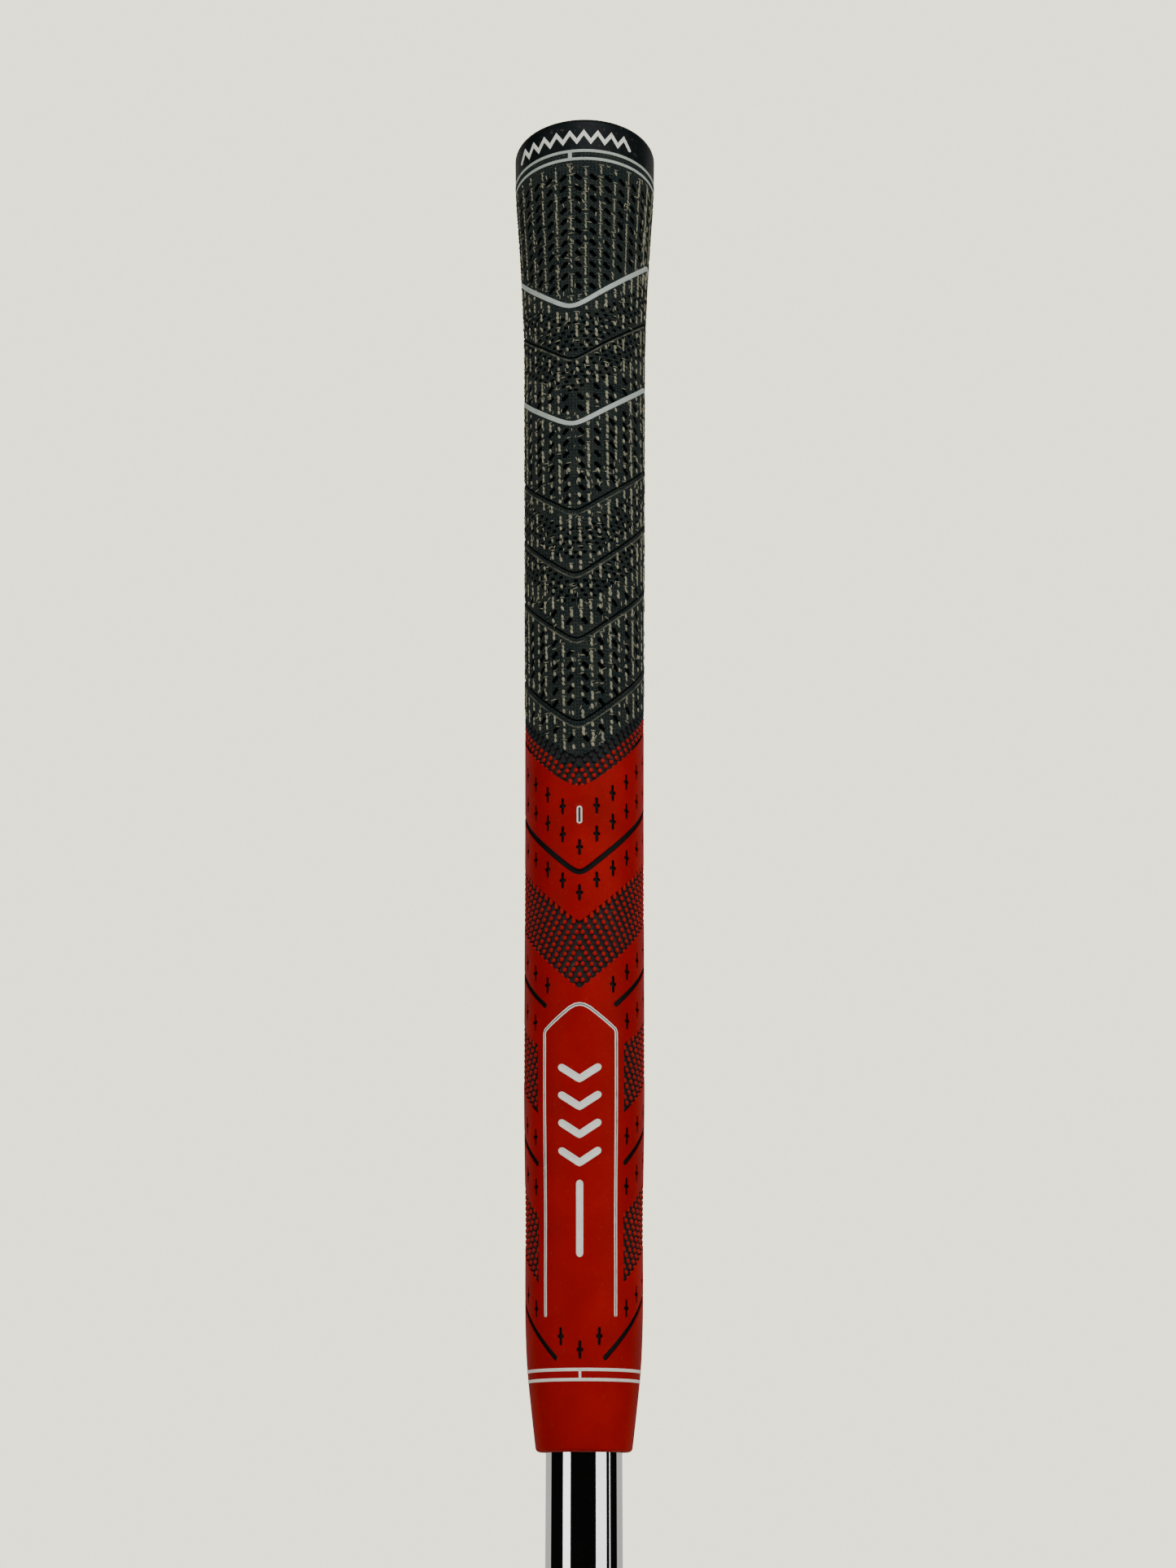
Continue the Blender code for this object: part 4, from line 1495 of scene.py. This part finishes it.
# Strip lamps: name, turn from the front, width and share of which lamp's power.
LAMP_DISTANCE, LAMP_HEIGHT, STRIP_LENGTH = 1.3, 0.35, 1.4
STRIPS = (
    ("left_strip", -53.0, 0.55, "left_power", 1),
    ("right_strip", 53.0, 0.80, "right_power", 1),
    ("thin_strip", 83.0, 0.10, "right_power", 16),
)
FLOOR_GLOW = 0.75  # how far the floor's own glow takes over when the camera looks at it


def floor_material(studio, colours):
    """Pale and even, and shown to the camera as bright as the backdrop."""
    material, tree, shader = new_material("floor_finish", 0.9)
    place = node(tree, "ShaderNodeTexCoord").outputs["Object"]
    drift = noise(tree, place, in_Scale=3.0).outputs["Fac"]
    tone = mixed(tree, drift, rgba(colours.backdrop, 0.97), rgba(colours.backdrop))
    glow = node(tree, "ShaderNodeEmission", in_Strength=studio.backdrop * 0.8)
    link(tree, tone, shader.inputs["Base Color"], glow.inputs["Color"])
    ray = node(tree, "ShaderNodeLightPath")
    both = node(tree, "ShaderNodeMixShader")
    output = next(each for each in tree.nodes if each.type == "OUTPUT_MATERIAL")
    link(tree, maths(tree, "MULTIPLY", ray.outputs["Is Camera Ray"], FLOOR_GLOW), both.inputs[0])
    link(tree, shader.outputs["BSDF"], both.inputs[1])
    link(tree, glow.outputs[0], both.inputs[2])
    link(tree, both.outputs[0], output.inputs["Surface"])
    return material


def light_room(world, studio, colours):
    """A dim room, brighter behind the grip, and an even backdrop for the camera."""
    world.use_nodes = True
    tree = world.node_tree
    tree.nodes.clear()
    output = node(tree, "ShaderNodeOutputWorld")
    backdrop = rgba(colours.backdrop)
    seen = node(tree, "ShaderNodeBackground", in_Color=backdrop, in_Strength=studio.backdrop)
    room = node(tree, "ShaderNodeBackground", in_Color=(1.0, 0.97, 0.93, 1.0))
    towards = node(tree, "ShaderNodeTexCoord")
    apart = node(tree, "ShaderNodeSeparateXYZ")
    link(tree, towards.outputs["Generated"], apart.inputs[0])
    behind = ramp(tree, apart.outputs["Y"], 0.42, 0.46)
    lit = maths(tree, "ADD", maths(tree, "MULTIPLY", behind, studio.behind), studio.room)
    link(tree, lit, room.inputs["Strength"])
    path = node(tree, "ShaderNodeLightPath")
    blend = node(tree, "ShaderNodeMixShader")
    link(tree, path.outputs["Is Camera Ray"], blend.inputs[0])
    link(tree, room.outputs[0], blend.inputs[1])
    link(tree, seen.outputs[0], blend.inputs[2])
    link(tree, blend.outputs[0], output.inputs["Surface"])


def lamp(name, place, size, power, target):
    data = bpy.data.lights.new(name, "AREA")
    data.shape = "RECTANGLE"
    data.size, data.size_y = size
    data.energy = power
    obj = bpy.data.objects.new(name, data)
    bpy.context.scene.collection.objects.link(obj)
    obj.location = place
    obj.rotation_euler = (Vector(target) - Vector(place)).to_track_quat("-Z", "Y").to_euler()


class GRIP_OT_studio(bpy.types.Operator):
    """Pale floor, soft lamps and the camera"""

    bl_idname = "grip.studio"
    bl_label = "Studio"

    def execute(self, context):
        studio, colours = context.scene.grip_studio, context.scene.grip_colours
        deselect_all()
        bpy.ops.mesh.primitive_plane_add(size=5.0, location=(0, 0, -studio.floor_drop))
        floor = context.object
        floor.name = "floor"
        floor.data.materials.append(floor_material(studio, colours))
        context.scene.world = bpy.data.worlds.new("studio")
        light_room(context.scene.world, studio, colours)
        for name, turn, width, power, share in STRIPS:
            angle = math.radians(turn)
            across, forward = LAMP_DISTANCE * math.sin(angle), -LAMP_DISTANCE * math.cos(angle)
            power = getattr(studio, power) / share
            place = (across, forward, LAMP_HEIGHT)
            lamp(name, place, (width, STRIP_LENGTH), power, (0, 0, LAMP_HEIGHT))
        lamp("top_lamp", (0.15, -1.0, 1.15), (0.9, 0.9), studio.top_power, (0, 0, 0.16))
        camera = bpy.data.objects.new("camera", bpy.data.cameras.new("camera"))
        context.scene.collection.objects.link(camera)
        camera.data.lens = studio.lens
        camera.data.sensor_width = 36.0
        camera.data.clip_start = 0.01
        camera.location = (studio.aside, -studio.distance, studio.height)
        camera.rotation_euler = (math.radians(90) + studio.pitch, 0, 0)
        context.scene.camera = camera
        return {"FINISHED"}


class GRIP_PT_panel(bpy.types.Panel):
    """Builds the grip piece by piece"""

    bl_idname = "GRIP_PT_panel"
    bl_label = "Golf Grip"
    bl_space_type = "VIEW_3D"
    bl_region_type = "UI"
    bl_category = "Golf Grip"

    def draw(self, context):
        for operator in PIECES:
            self.layout.operator(operator.bl_idname, text=operator.bl_label)
        scene = context.scene
        for settings in (scene.grip_sizes, scene.grip_colours, scene.grip_studio):
            box = self.layout.box()
            for name in settings.__annotations__:
                box.prop(settings, name)


PIECES = (
    GRIP_OT_studio,
    GRIP_OT_shaft,
    GRIP_OT_tape,
    GRIP_OT_core,
    GRIP_OT_red_sleeve,
    GRIP_OT_nubs,
    GRIP_OT_cord_sleeve,
    GRIP_OT_threads,
    GRIP_OT_lines,
    GRIP_OT_marks,
    GRIP_OT_cap,
)
CLASSES = (GripSizes, GripColours, StudioSizes, *PIECES, GRIP_PT_panel)


def register():
    for each in CLASSES:
        bpy.utils.register_class(each)
    bpy.types.Scene.grip_sizes = PointerProperty(type=GripSizes)
    bpy.types.Scene.grip_colours = PointerProperty(type=GripColours)
    bpy.types.Scene.grip_studio = PointerProperty(type=StudioSizes)


def unregister():
    del bpy.types.Scene.grip_studio
    del bpy.types.Scene.grip_colours
    del bpy.types.Scene.grip_sizes
    for each in reversed(CLASSES):
        bpy.utils.unregister_class(each)


def main():
    register()
    for operator in PIECES:
        getattr(bpy.ops.grip, operator.bl_idname.split(".")[1])()


if __name__ == "__main__":
    main()
